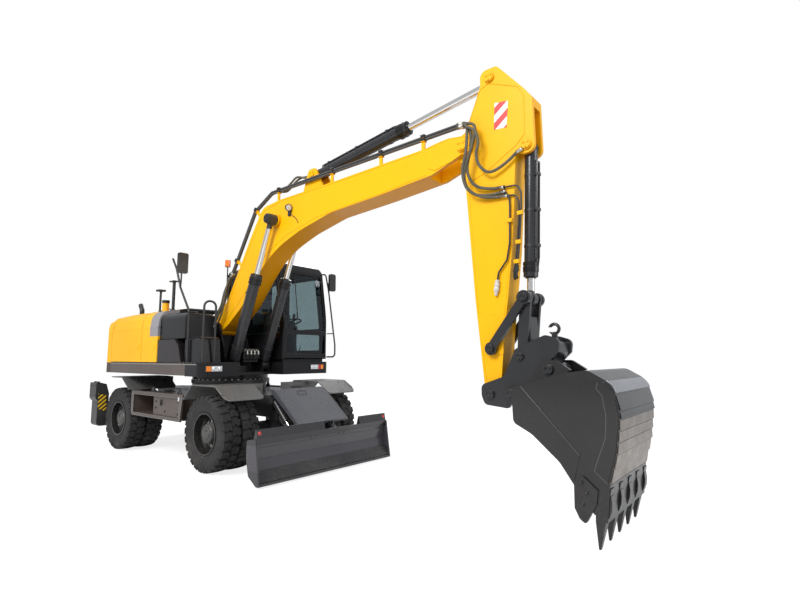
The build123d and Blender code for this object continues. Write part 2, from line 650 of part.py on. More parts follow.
def hood_outside():
    side = [(HOOD_REAR[0], HOOD_LOW, 0), (HOOD_REAR[0], HOOD_REAR[1], 30), (HOOD_FRONT[0], HOOD_FRONT[1], 60),
            (HOOD_FRONT[0], HOOD_LOW, 0)]
    section = [(-HALF_WIDTH, HOOD_LOW, 0), (HALF_WIDTH, HOOD_LOW, 0), (1215, 2330, 190),
               (500, 2460, 0), (-500, 2460, 0), (-1215, 2330, 190)]
    return plate(side, -HALF_WIDTH, HALF_WIDTH) & cross_plate(section, HOOD_REAR[0], HOOD_FRONT[0])


def hood_inside():
    side = [(HOOD_REAR[0] + PANEL_THICK, HOOD_LOW - 10, 0),
            (HOOD_REAR[0] + PANEL_THICK, HOOD_REAR[1] - PANEL_THICK, 0),
            (HOOD_FRONT[0] - PANEL_THICK, HOOD_FRONT[1] - PANEL_THICK - 5, 0),
            (HOOD_FRONT[0] - PANEL_THICK, HOOD_LOW - 10, 0)]
    section = [(-HALF_WIDTH + PANEL_THICK, HOOD_LOW - 10, 0), (HALF_WIDTH - PANEL_THICK, HOOD_LOW - 10, 0),
               (1185, 2290, 160), (500, 2420, 0), (-500, 2420, 0), (-1185, 2290, 160)]
    return plate(side, -HALF_WIDTH, HALF_WIDTH) & cross_plate(section, HOOD_REAR[0], HOOD_FRONT[0])


def make_hood():
    """The fixed hood, a shell with round shoulders that steps back behind the cab, and its lid."""
    corner = block(CAB_BULKHEAD_X - 30, 0, CAB_SIDE_Y - 40, 1300, HOOD_LOW - 20, 2600)
    pocket = block(CAB_BULKHEAD_X, 0, CAB_SIDE_Y, 1300, HOOD_LOW - 20, 2600)
    shell = hood_outside() - hood_inside()
    walls = hood_outside() & (corner - pocket)
    shell = shell - pocket + walls
    lid_box = block(LID_X[0], LID_X[1], -LID_HALF, LID_HALF, HOOD_LOW, 2600)
    gap_box = block(LID_X[0] - 6, LID_X[1] + 6, -LID_HALF - 6, LID_HALF + 6, HOOD_LOW, 2600)
    return shell - gap_box, shell & lid_box


hood, hood_lid = make_hood()
save("hood_lid", hood_lid)

DOOR_BOTTOM = DECK_TOP + 2.0
DOOR_TOP = HOOD_LOW - 8.0
# Side doors: node, side, x at the back, x at the front
SIDE_DOORS = (
    ("side_door_left", 1, -1955, -716),
    ("side_door_right", -1, -1955, -760),
    ("pump_door_right", -1, -748, -195),
)
for node, side, x0, x1 in SIDE_DOORS:
    save(node, block(x0, x1, side * (HALF_WIDTH - PANEL_THICK), side * HALF_WIDTH, DOOR_BOTTOM, DOOR_TOP))

# ---------------------------------------------------------------- right deck: tank, boxes, steps

TANK_X0 = -180.0
TANK_X1 = 600.0
TANK_BOTTOM = 1880.0
TANK_TOP = 2285.0
TANK_INSIDE_Y = -740.0
tank_rows = [(TANK_X0, TANK_BOTTOM, 0), (TANK_X0, TANK_TOP, 60), (TANK_X1, TANK_TOP - 15, 50),
             (TANK_X1, TANK_BOTTOM, 0)]
tank_section = [(-1215, TANK_BOTTOM - 10, 0), (-1215, TANK_TOP, 110), (TANK_INSIDE_Y, TANK_TOP, 50),
                (TANK_INSIDE_Y, TANK_BOTTOM - 10, 0)]
save("fuel_tank", plate(tank_rows, -1215, TANK_INSIDE_Y) & cross_plate(tank_section, TANK_X0, TANK_X1))

cabinet_rows = [(-185, DECK_TOP, 0), (-185, 1872, 0), (355, 1872, 30), (474, 1784, 40), (580, DECK_TOP, 0)]
cabinet = plate(cabinet_rows, -1200, TANK_INSIDE_Y)
save("right_cabinet", cabinet)
door_rows = [(-180, DECK_TOP + 2, 0), (-180, 1868, 0), (351, 1868, 30), (470, 1780, 40),
             (572, DECK_TOP + 2, 0)]
save("cabinet_door", plate(door_rows, -1205 - PANEL_THICK, -1205))

STEP_FRONT = 1050.0
STEP_TOP = 1895.0
step_rows = [(600, DECK_TOP, 0), (600, STEP_TOP, 30), (STEP_FRONT - 50, STEP_TOP, 60), (STEP_FRONT, DECK_TOP, 0)]
step_section = [(-1200, DECK_TOP, 0), (-1200, STEP_TOP, 60), (-870, STEP_TOP, 40), (-870, DECK_TOP, 0)]
save("step_unit", plate(step_rows, -1200, -870) & cross_plate(step_section, 590, STEP_FRONT))

# ---------------------------------------------------------------- handrails, mirrors, posts on the hood

RAIL_RADIUS = 16.0
RAIL_X = 1083.0
loop = rail([(RAIL_X, -1190, DECK_TOP + 1), (RAIL_X, -1190, 2415), (RAIL_X, -1000, 2415),
             (RAIL_X, -1000, DECK_TOP + 1)], RAIL_RADIUS, 85)
save("handrails", loop)

MIRROR_POLE = (730.0, -1224.0)
mirror_pole = rail([(MIRROR_POLE[0], MIRROR_POLE[1], DECK_TOP + 1), (710, -1224, 2290), (410, -1220, 2672),
                    (255, -1215, 2980), (110, -1210, 3160)], 17, 60)
mirror_arm = rail([(410, -1220, 2672), (470, -1245, 2790), (470, -1245, 2950)], 12, 40)
MIRROR_PLATE_X = 480.0
mirror_plate = cross_plate([(-1322, 2880, 30), (-1322, 3200, 30), (-1158, 3200, 30), (-1158, 2880, 30)],
                           MIRROR_PLATE_X - 14, MIRROR_PLATE_X + 22)

CAB_REAR = -655.0
CAB_FRONT = 1110.0
CAB_RIGHT = 250.0
CAB_LEFT = 1245.0
CAB_FLOOR = 1560.0
CAB_ROOF = 3250.0

guard = rail([(CAB_FRONT - 30, 1262, 1600), (1250, 1300, 1600), (1250, 1300, 1810), (1072, 1297, 2810),
              (990, 1292, 3135), (850, 1262, 3135)], 14, 60)
guard += rod((1080, 1262, 2020), (1210, 1298, 2020), 10)
left_mirror = cross_plate([(1222, 2800, 40), (1222, 3120, 40), (1375, 3120, 40), (1375, 2800, 40)], 1140, 1178)
left_stay = rod((1044, 1295, 2950), (1150, 1297, 2950), 12)
save("mirrors", guard + left_mirror + left_stay, mirror_pole + mirror_arm + mirror_plate)

exhaust = rail([(-1370, -1000, 2290), (-1370, -1000, 2440), (-1440, -1000, 2540)], 40, 60)
precleaner = Pos(-900, -800, 2450) * Cylinder(58, 240) + Pos(-900, -800, 2580) * Cylinder(64, 40)
stack = rod((-630, -800, 2360), (-630, -800, 2925), 26) + rod((-630, -800, 2360), (-630, -800, 2420), 40)
stack += block(-720, -560, -850, -750, 2905, 2925)
post = rod((-690, -1000, 2340), (-690, -1000, 2720), 18) + block(-750, -630, -1060, -940, 2720, 2750)
save("hood_fittings", exhaust, precleaner, stack, post)
save("hood", hood - exhaust - precleaner - stack - post)

# ---------------------------------------------------------------- cab

CAB_WALL = 40.0
# Outside of the cab seen from its side: x, z, corner radius
CAB_SIDE = [
    (CAB_REAR, CAB_FLOOR, 0),
    (CAB_FRONT, CAB_FLOOR, 40),
    (CAB_FRONT, 2060, 300),
    (950, 3110, 60),
    (880, CAB_ROOF, 100),
    (CAB_REAR + 40, CAB_ROOF, 80),
]
DOOR_X0 = -60.0
DOOR_X1 = 985.0
DOOR_SILL = 1640.0
DOOR_HEAD = 3100.0


def cab_side_rows(inset):
    """The cab's side outline, moved in by a distance."""
    rows = []
    for x, z, radius in CAB_SIDE:
        moved_x = x + inset if x < 0 else x - inset
        moved_z = z + inset if z < 1800 else z - (inset if z > 3000 else 0)
        rows.append((moved_x, moved_z, max(radius - inset, 0)))
    return rows


ROOF_EDGE = 115.0
PILLAR_EDGE = 62.0
EDGE_CREASE = 3.0


def cab_section(inset):
    """The cab seen from the front, with its round roof edges, moved in by a distance."""
    high = CAB_ROOF + EDGE_CREASE - inset
    radius = ROOF_EDGE - inset
    rows = [(CAB_RIGHT + inset, DECK_TOP, 0), (CAB_LEFT - inset, DECK_TOP, 0),
            (CAB_LEFT - inset, high, radius), (CAB_RIGHT + inset, high, radius)]
    return cross_plate(rows, CAB_REAR - 10, CAB_FRONT + 10)


def cab_plan():
    """The cab seen from above, with its round front corners."""
    front = CAB_FRONT + EDGE_CREASE
    rows = [(CAB_REAR - 10, CAB_RIGHT, 0), (front, CAB_RIGHT, PILLAR_EDGE), (front, CAB_LEFT, PILLAR_EDGE),
            (CAB_REAR - 10, CAB_LEFT, 0)]
    return slab(rows, DECK_TOP, CAB_ROOF + 10)


# Door outline: x, z, corner radius; its front edge follows the windscreen pillar
DOOR_ROWS = [(DOOR_X0, DOOR_SILL, 40), (DOOR_X1, DOOR_SILL, 40), (DOOR_X1, 2080, 200), (830, DOOR_HEAD, 60),
             (DOOR_X0, DOOR_HEAD, 60)]
DOOR_GLASS_ROWS = [(DOOR_X0 + 55, 2105, 40), (DOOR_X1 - 55, 2105, 40), (782, DOOR_HEAD - 55, 50),
                   (DOOR_X0 + 55, DOOR_HEAD - 55, 50)]
DOOR_LOW_ROWS = [(DOOR_X0 + 55, 1710, 40), (DOOR_X1 - 55, 1710, 40), (DOOR_X1 - 55, 2055, 40),
                 (DOOR_X0 + 55, 2055, 40)]
REAR_QUARTER_ROWS = [(CAB_REAR + 80, 2120, 50), (DOOR_X0 - 60, 2120, 50), (DOOR_X0 - 60, 3045, 50),
                     (CAB_REAR + 80, 3045, 50)]
RIGHT_GLASS_ROWS = [(CAB_REAR + 80, 2000, 60), (1010, 2000, 60), (850, 3060, 60), (CAB_REAR + 80, 3060, 60)]
# Windscreen panes: bottom z, top z
SCREEN_PANES = ((1640, 1990), (2050, 3070))
SCREEN_MARGIN = 50.0
REAR_PANE = (2150, 3060)


def make_cab():
    """The hollow cab with its door and window openings."""
    shell = plate(CAB_SIDE, CAB_RIGHT, CAB_LEFT) & cab_section(0) & cab_plan()
    shell += block(CAB_REAR + 60, CAB_FRONT - 60, CAB_RIGHT + 40, CAB_LEFT - 60, DECK_TOP, CAB_FLOOR + 5)
    room = plate(cab_side_rows(CAB_WALL), CAB_RIGHT + CAB_WALL, CAB_LEFT - CAB_WALL)
    shell -= room & cab_section(CAB_WALL)
    shell -= plate(DOOR_ROWS, CAB_LEFT - CAB_WALL - 5, CAB_LEFT + 5)
    shell -= plate(REAR_QUARTER_ROWS, CAB_LEFT - CAB_WALL - 5, CAB_LEFT + 5)
    shell -= plate(RIGHT_GLASS_ROWS, CAB_RIGHT - 5, CAB_RIGHT + CAB_WALL + 5)
    for low, high in SCREEN_PANES:
        pane = [(CAB_RIGHT + SCREEN_MARGIN, low, 60), (CAB_LEFT - SCREEN_MARGIN, low, 60),
                (CAB_LEFT - SCREEN_MARGIN, high, 60), (CAB_RIGHT + SCREEN_MARGIN, high, 60)]
        shell -= cross_plate(pane, 700, CAB_FRONT + 50)
    low, high = REAR_PANE
    back = [(CAB_RIGHT + 90, low, 60), (CAB_LEFT - 90, low, 60), (CAB_LEFT - 90, high, 60),
            (CAB_RIGHT + 90, high, 60)]
    shell -= cross_plate(back, CAB_REAR - 10, CAB_REAR + CAB_WALL + 10)
    return shell


save("cab", make_cab())

GLASS = 8.0


def screen_x(z):
    """Outside x of the windscreen at a height, along the cab's front outline."""
    if z <= 2060:
        return CAB_FRONT
    return CAB_FRONT - (CAB_FRONT - 950) * (z - 2060) / (3110 - 2060)


def make_glass():
    """The fixed panes, each let into its opening."""
    panes = []
    gap = 1.0
    for low, high in SCREEN_PANES:
        right_y = CAB_RIGHT + SCREEN_MARGIN + gap
        left_y = CAB_LEFT - SCREEN_MARGIN - gap
        rows = [(right_y, low + gap, 59), (left_y, low + gap, 59), (left_y, high - gap, 59),
                (right_y, high - gap, 59)]
        sheet = [(screen_x(low) - 16, low, 0), (screen_x(low) - 16 - GLASS, low, 0),
                 (screen_x(high) - 16 - GLASS, high, 0), (screen_x(high) - 16, high, 0)]
        panes.append(cross_plate(rows, 600, CAB_FRONT + 50) & plate(sheet, CAB_RIGHT, CAB_LEFT))
    quarter = [(x + (gap if x < -400 else -gap), z + (gap if z < 2500 else -gap), r)
               for x, z, r in REAR_QUARTER_ROWS]
    panes.append(plate(quarter, CAB_LEFT - 24, CAB_LEFT - 24 + GLASS))
    right = [(x + (gap if x < 0 else -gap), z + (gap if z < 2500 else -gap), r)
             for x, z, r in RIGHT_GLASS_ROWS]
    panes.append(plate(right, CAB_RIGHT + 16, CAB_RIGHT + 16 + GLASS))
    low, high = REAR_PANE
    back = [(CAB_RIGHT + 91, low + gap, 59), (CAB_LEFT - 91, low + gap, 59), (CAB_LEFT - 91, high - gap, 59),
            (CAB_RIGHT + 91, high - gap, 59)]
    panes.append(cross_plate(back, CAB_REAR + 16, CAB_REAR + 16 + GLASS))
    return panes


save("cab_glass", *make_glass())


def make_cab_door():
    """The door frame with its two openings."""
    gap = 5.0
    rows = [(DOOR_X0 + gap, DOOR_SILL + gap, 38), (DOOR_X1 - gap, DOOR_SILL + gap, 38),
            (DOOR_X1 - gap, 2080, 200), (830 - gap, DOOR_HEAD - gap, 58),
            (DOOR_X0 + gap, DOOR_HEAD - gap, 58)]
    door = plate(rows, CAB_LEFT - CAB_WALL, CAB_LEFT)
    door -= plate(DOOR_GLASS_ROWS, CAB_LEFT - CAB_WALL - 5, CAB_LEFT + 5)
    door -= plate(DOOR_LOW_ROWS, CAB_LEFT - CAB_WALL - 5, CAB_LEFT + 5)
    return door


save("cab_door", make_cab_door())
door_panes = []
for rows in (DOOR_GLASS_ROWS, DOOR_LOW_ROWS):
    middle_x = sum(row[0] for row in rows) / 4
    middle_z = sum(row[1] for row in rows) / 4
    inner = [(x - math.copysign(1, x - middle_x), z - math.copysign(1, z - middle_z), r) for x, z, r in rows]
    door_panes.append(plate(inner, CAB_LEFT - 24, CAB_LEFT - 24 + GLASS))
save("door_glass", *door_panes)

SEAT_X = 60.0
SEAT_Y = 745.0
SEAT_TOP = 2080.0
seat_base = block(SEAT_X - 190, SEAT_X + 230, SEAT_Y - 200, SEAT_Y + 200, CAB_FLOOR + CAB_WALL,
                  SEAT_TOP - 110)
save("seat_base", seat_base)
save("seat_cushion", block(SEAT_X - 210, SEAT_X + 290, SEAT_Y - 250, SEAT_Y + 250, SEAT_TOP - 109, SEAT_TOP))
back_rows = [(SEAT_X - 215, SEAT_TOP + 2, 20), (SEAT_X - 110, SEAT_TOP + 2, 20), (SEAT_X - 250, 2700, 40),
             (SEAT_X - 340, 2680, 40)]
save("seat_back", plate(back_rows, SEAT_Y - 240, SEAT_Y + 240))


def make_console():
    """The steering column with its wheel, the two arm consoles and the pedals."""
    column = rod((820, SEAT_Y, CAB_FLOOR + CAB_WALL + 14), (680, SEAT_Y, 2180), 45)
    wheel_plane = Plane(origin=(668, SEAT_Y, 2225), z_dir=(-0.23, 0, 0.97))
    wheel = wheel_plane * Torus(190, 14)
    spokes = wheel_plane * Box(370, 30, 14)
    spokes += wheel_plane * Cylinder(45, 30)
    spokes += rod((680, SEAT_Y, 2175), (668, SEAT_Y, 2225), 30)
    console = column + wheel + spokes
    arms = []
    for side in (-1, 1):
        y = SEAT_Y + side * 325
        box_arm = block(SEAT_X - 150, SEAT_X + 330, y - 55, y + 55, CAB_FLOOR + CAB_WALL + 1, 2180)
        lever = rod((SEAT_X + 280, y, 2170), (SEAT_X + 300, y, 2330), 18)
        arms.append(box_arm + lever)
    return [console] + arms


save("cab_controls", *make_console())

BEACON = (-620.0, 233.0)
beacon = Pos(BEACON[0], BEACON[1], CAB_ROOF + 130) * Cylinder(52, 130)
beacon += rod((BEACON[0], BEACON[1], 2800), (BEACON[0], BEACON[1], CAB_ROOF + 70), 12)
for low in (2850, 3120):
    beacon += block(BEACON[0] - 16, BEACON[0] + 16, BEACON[1], CAB_RIGHT, low, low + 40)
save("beacon", beacon)

# ---------------------------------------------------------------- boom, arm and their cylinders

# Boom outline: x, z, corner radius
BOOM_ROWS = [
    (60, 1935, 60),
    (430, 2130, 300),
    (815, 2415, 900),
    (1500, 3190, 1700),
    (2210, 3443, 1800),
    (2844, 3587, 900),
    (3766, 3644, 0),
    (4562, 3712, 0),
    (4960, 3842, 60),
    (5085, 3880, 60),
    (5088, 4050, 90),
    (4800, 4092, 40),
    (4640, 4080, 60),
    (4466, 4057, 0),
    (3766, 4042, 0),
    (2834, 4019, 0),
    (1721, 4009, 300),
    (1290, 3965, 260),
    (972, 3491, 0),
    (742, 3107, 0),
    (396, 2550, 400),
    (40, 2200, 90),
]
FORK_X = 4500.0
FORK_INSIDE = ARM_HALF + 12.0


# Oil pipes along the right of the boom's top, two side by side and two high
PIPE_RADIUS = 11.0
PIPE_SIDES = (-364.0, -340.0)
PIPE_BEND = 150.0
PIPE_PATHS = (
    ((500, 2985), (1080, 3930), (1500, 4150), (4930, 4190)),
    ((473, 3002), (1058, 3954), (1495, 4182), (4930, 4222)),
)
# Pipe clamps: x, z on the lower pipe, slope in degrees, drop to the boom
PIPE_CLAMPS = (
    (620, 3180, 58.4, 170),
    (1115, 3948, 45.0, 160),
    (1680, 4152, 0.7, 160),
    (2870, 4166, 0.7, 160),
    (3770, 4176, 0.7, 150),
    (4440, 4184, 0.7, 140),
)
CLAMP_Y = (-384.0, -330.0)


def boom_block(rows, half):
    return plate(rows, BOOM_Y - half, BOOM_Y + half)


def sloped_block(x, z, slope, run, rise, y0, y1):
    """A block turned to a slope; run and rise are its ends along the slope and square to it."""
    cosine = math.cos(math.radians(slope))
    sine = math.sin(math.radians(slope))
    rows = []
    for a, b in ((run[0], rise[0]), (run[1], rise[0]), (run[1], rise[1]), (run[0], rise[1])):
        rows.append((x + cosine * a - sine * b, z + sine * a + cosine * b, 0))
    return plate(rows, y0, y1)


def make_boom_pipes():
    """The pipes with their clamps and the brackets that carry them."""
    lines = None
    for x, z, slope, drop in PIPE_CLAMPS:
        clamp = sloped_block(x, z, slope, (-26, 26), (-22, 54), *CLAMP_Y)
        clamp += sloped_block(x, z, slope, (-20, 20), (-drop, -20), CLAMP_Y[0] + 14, CLAMP_Y[0] + 34)
        lines = clamp if lines is None else lines + clamp
    for path in PIPE_PATHS:
        for y in PIPE_SIDES:
            lines += rail([(x, y, z) for x, z in path], PIPE_RADIUS, PIPE_BEND)
    return lines


def make_boom():
    """The one-piece boom, forked at its tip, with pin bosses and cylinder lugs."""
    boom = boom_block(BOOM_ROWS, BOOM_HALF)
    slot = [(FORK_X, 3500, 0), (FORK_X, 4300, 0), (5300, 4300, 0), (5300, 3500, 0)]
    boom -= boom_block(slot, FORK_INSIDE)
    boom += bar_y(BOOM_FOOT, 105, BOOM_Y - BOOM_HALF - 33, BOOM_Y + BOOM_HALF + 33)
    boom -= bar_y(BOOM_FOOT, 45 + FIT, BOOM_Y - 260, BOOM_Y + 260)
    boom += bar_y(BOOM_CYLINDER_ROD, 100, BOOM_Y - BOOM_HALF - 40, BOOM_Y + BOOM_HALF + 40)
    for side in (-1, 1):
        boom += bar_y(ARM_PIN, 75, BOOM_Y + side * FORK_INSIDE, BOOM_Y + side * (BOOM_HALF + 22))
        x, z = ARM_CYLINDER_FOOT
        lug = [(x - 200, 4000, 0), (x - 75, z + 75, 60), (x + 75, z + 75, 60), (x + 260, 4000, 0)]
        boom += plate(lug, BOOM_Y + side * 88, BOOM_Y + side * 118)
    return boom + make_boom_pipes()


save("boom", make_boom())

BOOM_TUBE_RADIUS = 82.0
BOOM_ROD_RADIUS = 42.0
BOOM_HEAD_AT = 1500.0


def boom_tube(y):
    tube = line_rod(BOOM_CYLINDER_FOOT, BOOM_CYLINDER_ROD, y, BOOM_TUBE_RADIUS, 105, BOOM_HEAD_AT)
    tube += line_rod(BOOM_CYLINDER_FOOT, BOOM_CYLINDER_ROD, y, 46, 40, 106)
    tube += line_rod(BOOM_CYLINDER_FOOT, BOOM_CYLINDER_ROD, y, BOOM_TUBE_RADIUS + 10, BOOM_HEAD_AT - 150,
                     BOOM_HEAD_AT)
    tube += bar_y(BOOM_CYLINDER_FOOT, 72, y - 48, y + 48)
    bore = line_rod(BOOM_CYLINDER_FOOT, BOOM_CYLINDER_ROD, y, BOOM_ROD_RADIUS + FIT, 150, BOOM_HEAD_AT + 10)
    return tube - bore


def boom_rod(y):
    length = math.dist(BOOM_CYLINDER_FOOT, BOOM_CYLINDER_ROD)
    bar = line_rod(BOOM_CYLINDER_FOOT, BOOM_CYLINDER_ROD, y, BOOM_ROD_RADIUS, 1030, length - 60)
    eye = bar_y(BOOM_CYLINDER_ROD, 82, y - 58, y + 58)
    outward = 1 if y > BOOM_Y else -1
    cap = bar_y(BOOM_CYLINDER_ROD, 75, y + outward * 58, y + outward * 92)
    return bar + eye + cap


save("boom_cylinder_tubes", *make_cylinder_pair(boom_tube, BOOM_Y, CYLINDER_SIDE))
save("boom_cylinder_rods", *make_cylinder_pair(boom_rod, BOOM_Y, CYLINDER_SIDE))

ARM_TUBE_RADIUS = 80.0
ARM_ROD_RADIUS = 45.0
ARM_HEAD_AT = 1720.0


def arm_cylinder_tube():
    tube = line_rod(ARM_CYLINDER_FOOT, ARM_CYLINDER_ROD, BOOM_Y, ARM_TUBE_RADIUS, 50, ARM_HEAD_AT)
    tube += line_rod(ARM_CYLINDER_FOOT, ARM_CYLINDER_ROD, BOOM_Y, ARM_TUBE_RADIUS + 10, ARM_HEAD_AT - 150,
                     ARM_HEAD_AT)
    tube += bar_y(ARM_CYLINDER_FOOT, 68, BOOM_Y - 60, BOOM_Y + 60)
    bore = line_rod(ARM_CYLINDER_FOOT, ARM_CYLINDER_ROD, BOOM_Y, ARM_ROD_RADIUS + FIT, 150, ARM_HEAD_AT + 10)
    return tube - bore


def arm_cylinder_rod():
    length = math.dist(ARM_CYLINDER_FOOT, ARM_CYLINDER_ROD)
    bar = line_rod(ARM_CYLINDER_FOOT, ARM_CYLINDER_ROD, BOOM_Y, ARM_ROD_RADIUS, 1180, length)
    return bar + bar_y(ARM_CYLINDER_ROD, 80, BOOM_Y - 55, BOOM_Y + 55)


save("arm_cylinder_tube", arm_cylinder_tube())
save("arm_cylinder_rod", arm_cylinder_rod())

# Arm outline: x, z, corner radius
ARM_ROWS = [
    (5185, 1130, 70),
    (5080, 2205, 0),
    (5000, 3320, 0),
    (4965, 3760, 0),
    (4870, 3840, 100),
    (4868, 4060, 100),
    (4990, 4120, 0),
    (5060, 4260, 0),
    (5195, 4600, 0),
    (5195, 4770, 80),
    (5400, 4770, 80),
    (5708, 4396, 0),
    (5790, 4280, 30),
    (5800, 3690, 80),
    (5640, 3690, 80),
    (5590, 3750, 0),
    (5560, 3220, 0),
    (5518, 2690, 0),
    (5455, 2175, 0),
    (5400, 1750, 60),
    (5340, 1130, 80),
]


def make_arm():
    """The arm, with lugs for its cylinder, the bucket cylinder and the links."""
    arm = boom_block(ARM_ROWS, ARM_HALF)
    arm += bar_y(ARM_PIN, 112, BOOM_Y - ARM_HALF - 4, BOOM_Y + ARM_HALF + 4)
    top = [(5000, 4470, 0), (5000, 4900, 0), (5900, 4900, 0), (5900, 4470, 0)]
    arm -= boom_block(top, 62)
    front = [(5598, 3600, 0), (5598, 4180, 0), (5850, 4180, 0), (5850, 3600, 0)]
    arm -= boom_block(front, 74)
    for pin, radius in ((ARM_CYLINDER_ROD, 60), (BUCKET_CYLINDER_FOOT, 60)):
        for side in (-1, 1):
            arm += bar_y(pin, radius, BOOM_Y + side * (ARM_HALF - 2), BOOM_Y + side * (ARM_HALF + 18))
    arm += bar_y(ROCKER_PIN, 52, BOOM_Y - ARM_HALF - 18, BOOM_Y + ARM_HALF + 18)
    arm += bar_y(BUCKET_PIN, 80, BOOM_Y - ARM_HALF - 18, BOOM_Y + ARM_HALF + 18)
    return arm


save("arm", make_arm())

BUCKET_TUBE_RADIUS = 66.0
BUCKET_ROD_RADIUS = 38.0
BUCKET_HEAD_AT = 1370.0


def bucket_cylinder_tube():
    tube = line_rod(BUCKET_CYLINDER_FOOT, BUCKET_CYLINDER_ROD, BOOM_Y, BUCKET_TUBE_RADIUS, 40, BUCKET_HEAD_AT)
    tube += line_rod(BUCKET_CYLINDER_FOOT, BUCKET_CYLINDER_ROD, BOOM_Y, BUCKET_TUBE_RADIUS + 8,
                     BUCKET_HEAD_AT - 150, BUCKET_HEAD_AT)
    tube += bar_y(BUCKET_CYLINDER_FOOT, 60, BOOM_Y - 52, BOOM_Y + 52)
    return tube - line_rod(BUCKET_CYLINDER_FOOT, BUCKET_CYLINDER_ROD, BOOM_Y, BUCKET_ROD_RADIUS + FIT, 120,
                           BUCKET_HEAD_AT + 10)


def bucket_cylinder_rod():
    length = math.dist(BUCKET_CYLINDER_FOOT, BUCKET_CYLINDER_ROD)
    bar = line_rod(BUCKET_CYLINDER_FOOT, BUCKET_CYLINDER_ROD, BOOM_Y, BUCKET_ROD_RADIUS, 300, length)
    return bar + bar_y(BUCKET_CYLINDER_ROD, 66, BOOM_Y - 45, BOOM_Y + 45)


save("bucket_cylinder_tube", bucket_cylinder_tube())
save("bucket_cylinder_rod", bucket_cylinder_rod())

# ---------------------------------------------------------------- links, quick coupler and bucket

ROCKER_INSIDE = 145.0
ROCKER_THICK = 40.0


def bar_link(start, end, start_radius, end_radius, waist, y0, y1):
    """A flat link with a round eye at each end."""
    link = bar_y(start, start_radius, y0, y1) + bar_y(end, end_radius, y0, y1)
    length = math.dist(start, end)
    dx = (end[0] - start[0]) / length
    dz = (end[1] - start[1]) / length
    rows = []
    wide = waist * 1.15
    for pin, sign, width in ((start, 1, wide), (end, 1, waist), (end, -1, waist), (start, -1, wide)):
        rows.append((pin[0] - sign * dz * width, pin[1] + sign * dx * width, 0))
    return link + plate(rows, y0, y1)


def make_rockers():
    """The two side links of the bucket linkage, with the eye caps at their upper pin."""
    links = []
    for side in (-1, 1):
        inner = BOOM_Y + side * ROCKER_INSIDE
        outer = BOOM_Y + side * (ROCKER_INSIDE + ROCKER_THICK)
        link = bar_link(ROCKER_PIN, BUCKET_CYLINDER_ROD, 66, 72, 42, inner, outer)
        link += bar_y(ROCKER_PIN, 36, outer, outer + side * 14)
        link += bar_y(BUCKET_CYLINDER_ROD, 40, outer, outer + side * 14)
        links.append(link)
    return links


save("rocker_links", *make_rockers())


def make_bucket_link():
    """The wide link between the rockers and the quick coupler."""
    link = bar_y(LINK_PIN, 58, BOOM_Y - 120, BOOM_Y + 120)
    for side in (-1, 1):
        link += bar_link(BUCKET_CYLINDER_ROD, LINK_PIN, 66, 58, 50, BOOM_Y + side * 95, BOOM_Y + side * 138)
    waist = [along(BUCKET_CYLINDER_ROD, LINK_PIN, 190), along(BUCKET_CYLINDER_ROD, LINK_PIN, 560)]
    link += line_rod(waist[0], waist[1], BOOM_Y, 48, 0, 370)
    link += block(waist[0][0] - 50, waist[0][0] + 45, BOOM_Y - 100, BOOM_Y + 100, waist[1][1], waist[0][1])
    return link


save("bucket_link", make_bucket_link())

COUPLER_INSIDE = 145.0
COUPLER_OUTSIDE = 185.0
# Coupler ear outline: x, z, corner radius
COUPLER_ROWS = [
    (5165, 1200, 60),
    (5200, 1110, 60),
    (5460, 1085, 30),
    (5610, 1290, 0),
    (5900, 1560, 0),
    (5985, 1640, 0),
    (6000, 1760, 60),
    (5860, 1805, 60),
    (5700, 1740, 0),
    (5545, 1670, 50),
    (5500, 1560, 60),
    (5420, 1400, 80),
    (5165, 1310, 60),
]


def make_coupler():
    """The quick coupler: two ears, a middle body with hooks, and a lifting eye."""
    coupler = None
    for side in (-1, 1):
        ear = plate(COUPLER_ROWS, BOOM_Y + side * COUPLER_INSIDE, BOOM_Y + side * COUPLER_OUTSIDE)
        ear += bar_y(BUCKET_PIN, 48, BOOM_Y + side * COUPLER_OUTSIDE, BOOM_Y + side * (COUPLER_OUTSIDE + 12))
        ear += bar_y(LINK_PIN, 42, BOOM_Y + side * COUPLER_OUTSIDE, BOOM_Y + side * (COUPLER_OUTSIDE + 12))
        coupler = ear if coupler is None else coupler + ear
    body = [(5430, 1150, 40), (5560, 1180, 0), (5900, 1540, 0), (5970, 1640, 0), (5960, 1740, 40),
            (5870, 1760, 40), (5760, 1560, 0), (5520, 1370, 60), (5420, 1290, 40)]
    coupler += boom_block(body, COUPLER_INSIDE)
    coupler += bar_y(COUPLER_REAR_PIN, 62, BOOM_Y - COUPLER_OUTSIDE, BOOM_Y + COUPLER_OUTSIDE)
    coupler += bar_y(COUPLER_FRONT_PIN, 70, BOOM_Y - COUPLER_OUTSIDE, BOOM_Y + COUPLER_OUTSIDE)
    for pin in (COUPLER_REAR_PIN, COUPLER_FRONT_PIN):
        coupler -= bar_y(pin, 36.5, BOOM_Y - 400, BOOM_Y + 400)
    hook_centre = (5885.0, 1870.0)
    hook = Pos(hook_centre[0], BOOM_Y, hook_centre[1]) * Rot(90, 0, 0) * Torus(46, 16)
    hook -= block(hook_centre[0] - 70, hook_centre[0] - 5, BOOM_Y - 30, BOOM_Y + 30, hook_centre[1] - 30,
                  hook_centre[1] + 15)
    hook += block(hook_centre[0] - 25, hook_centre[0] + 25, BOOM_Y - 16, BOOM_Y + 16, 1740, hook_centre[1] - 40)
    return coupler + hook


save("quick_coupler", make_coupler())

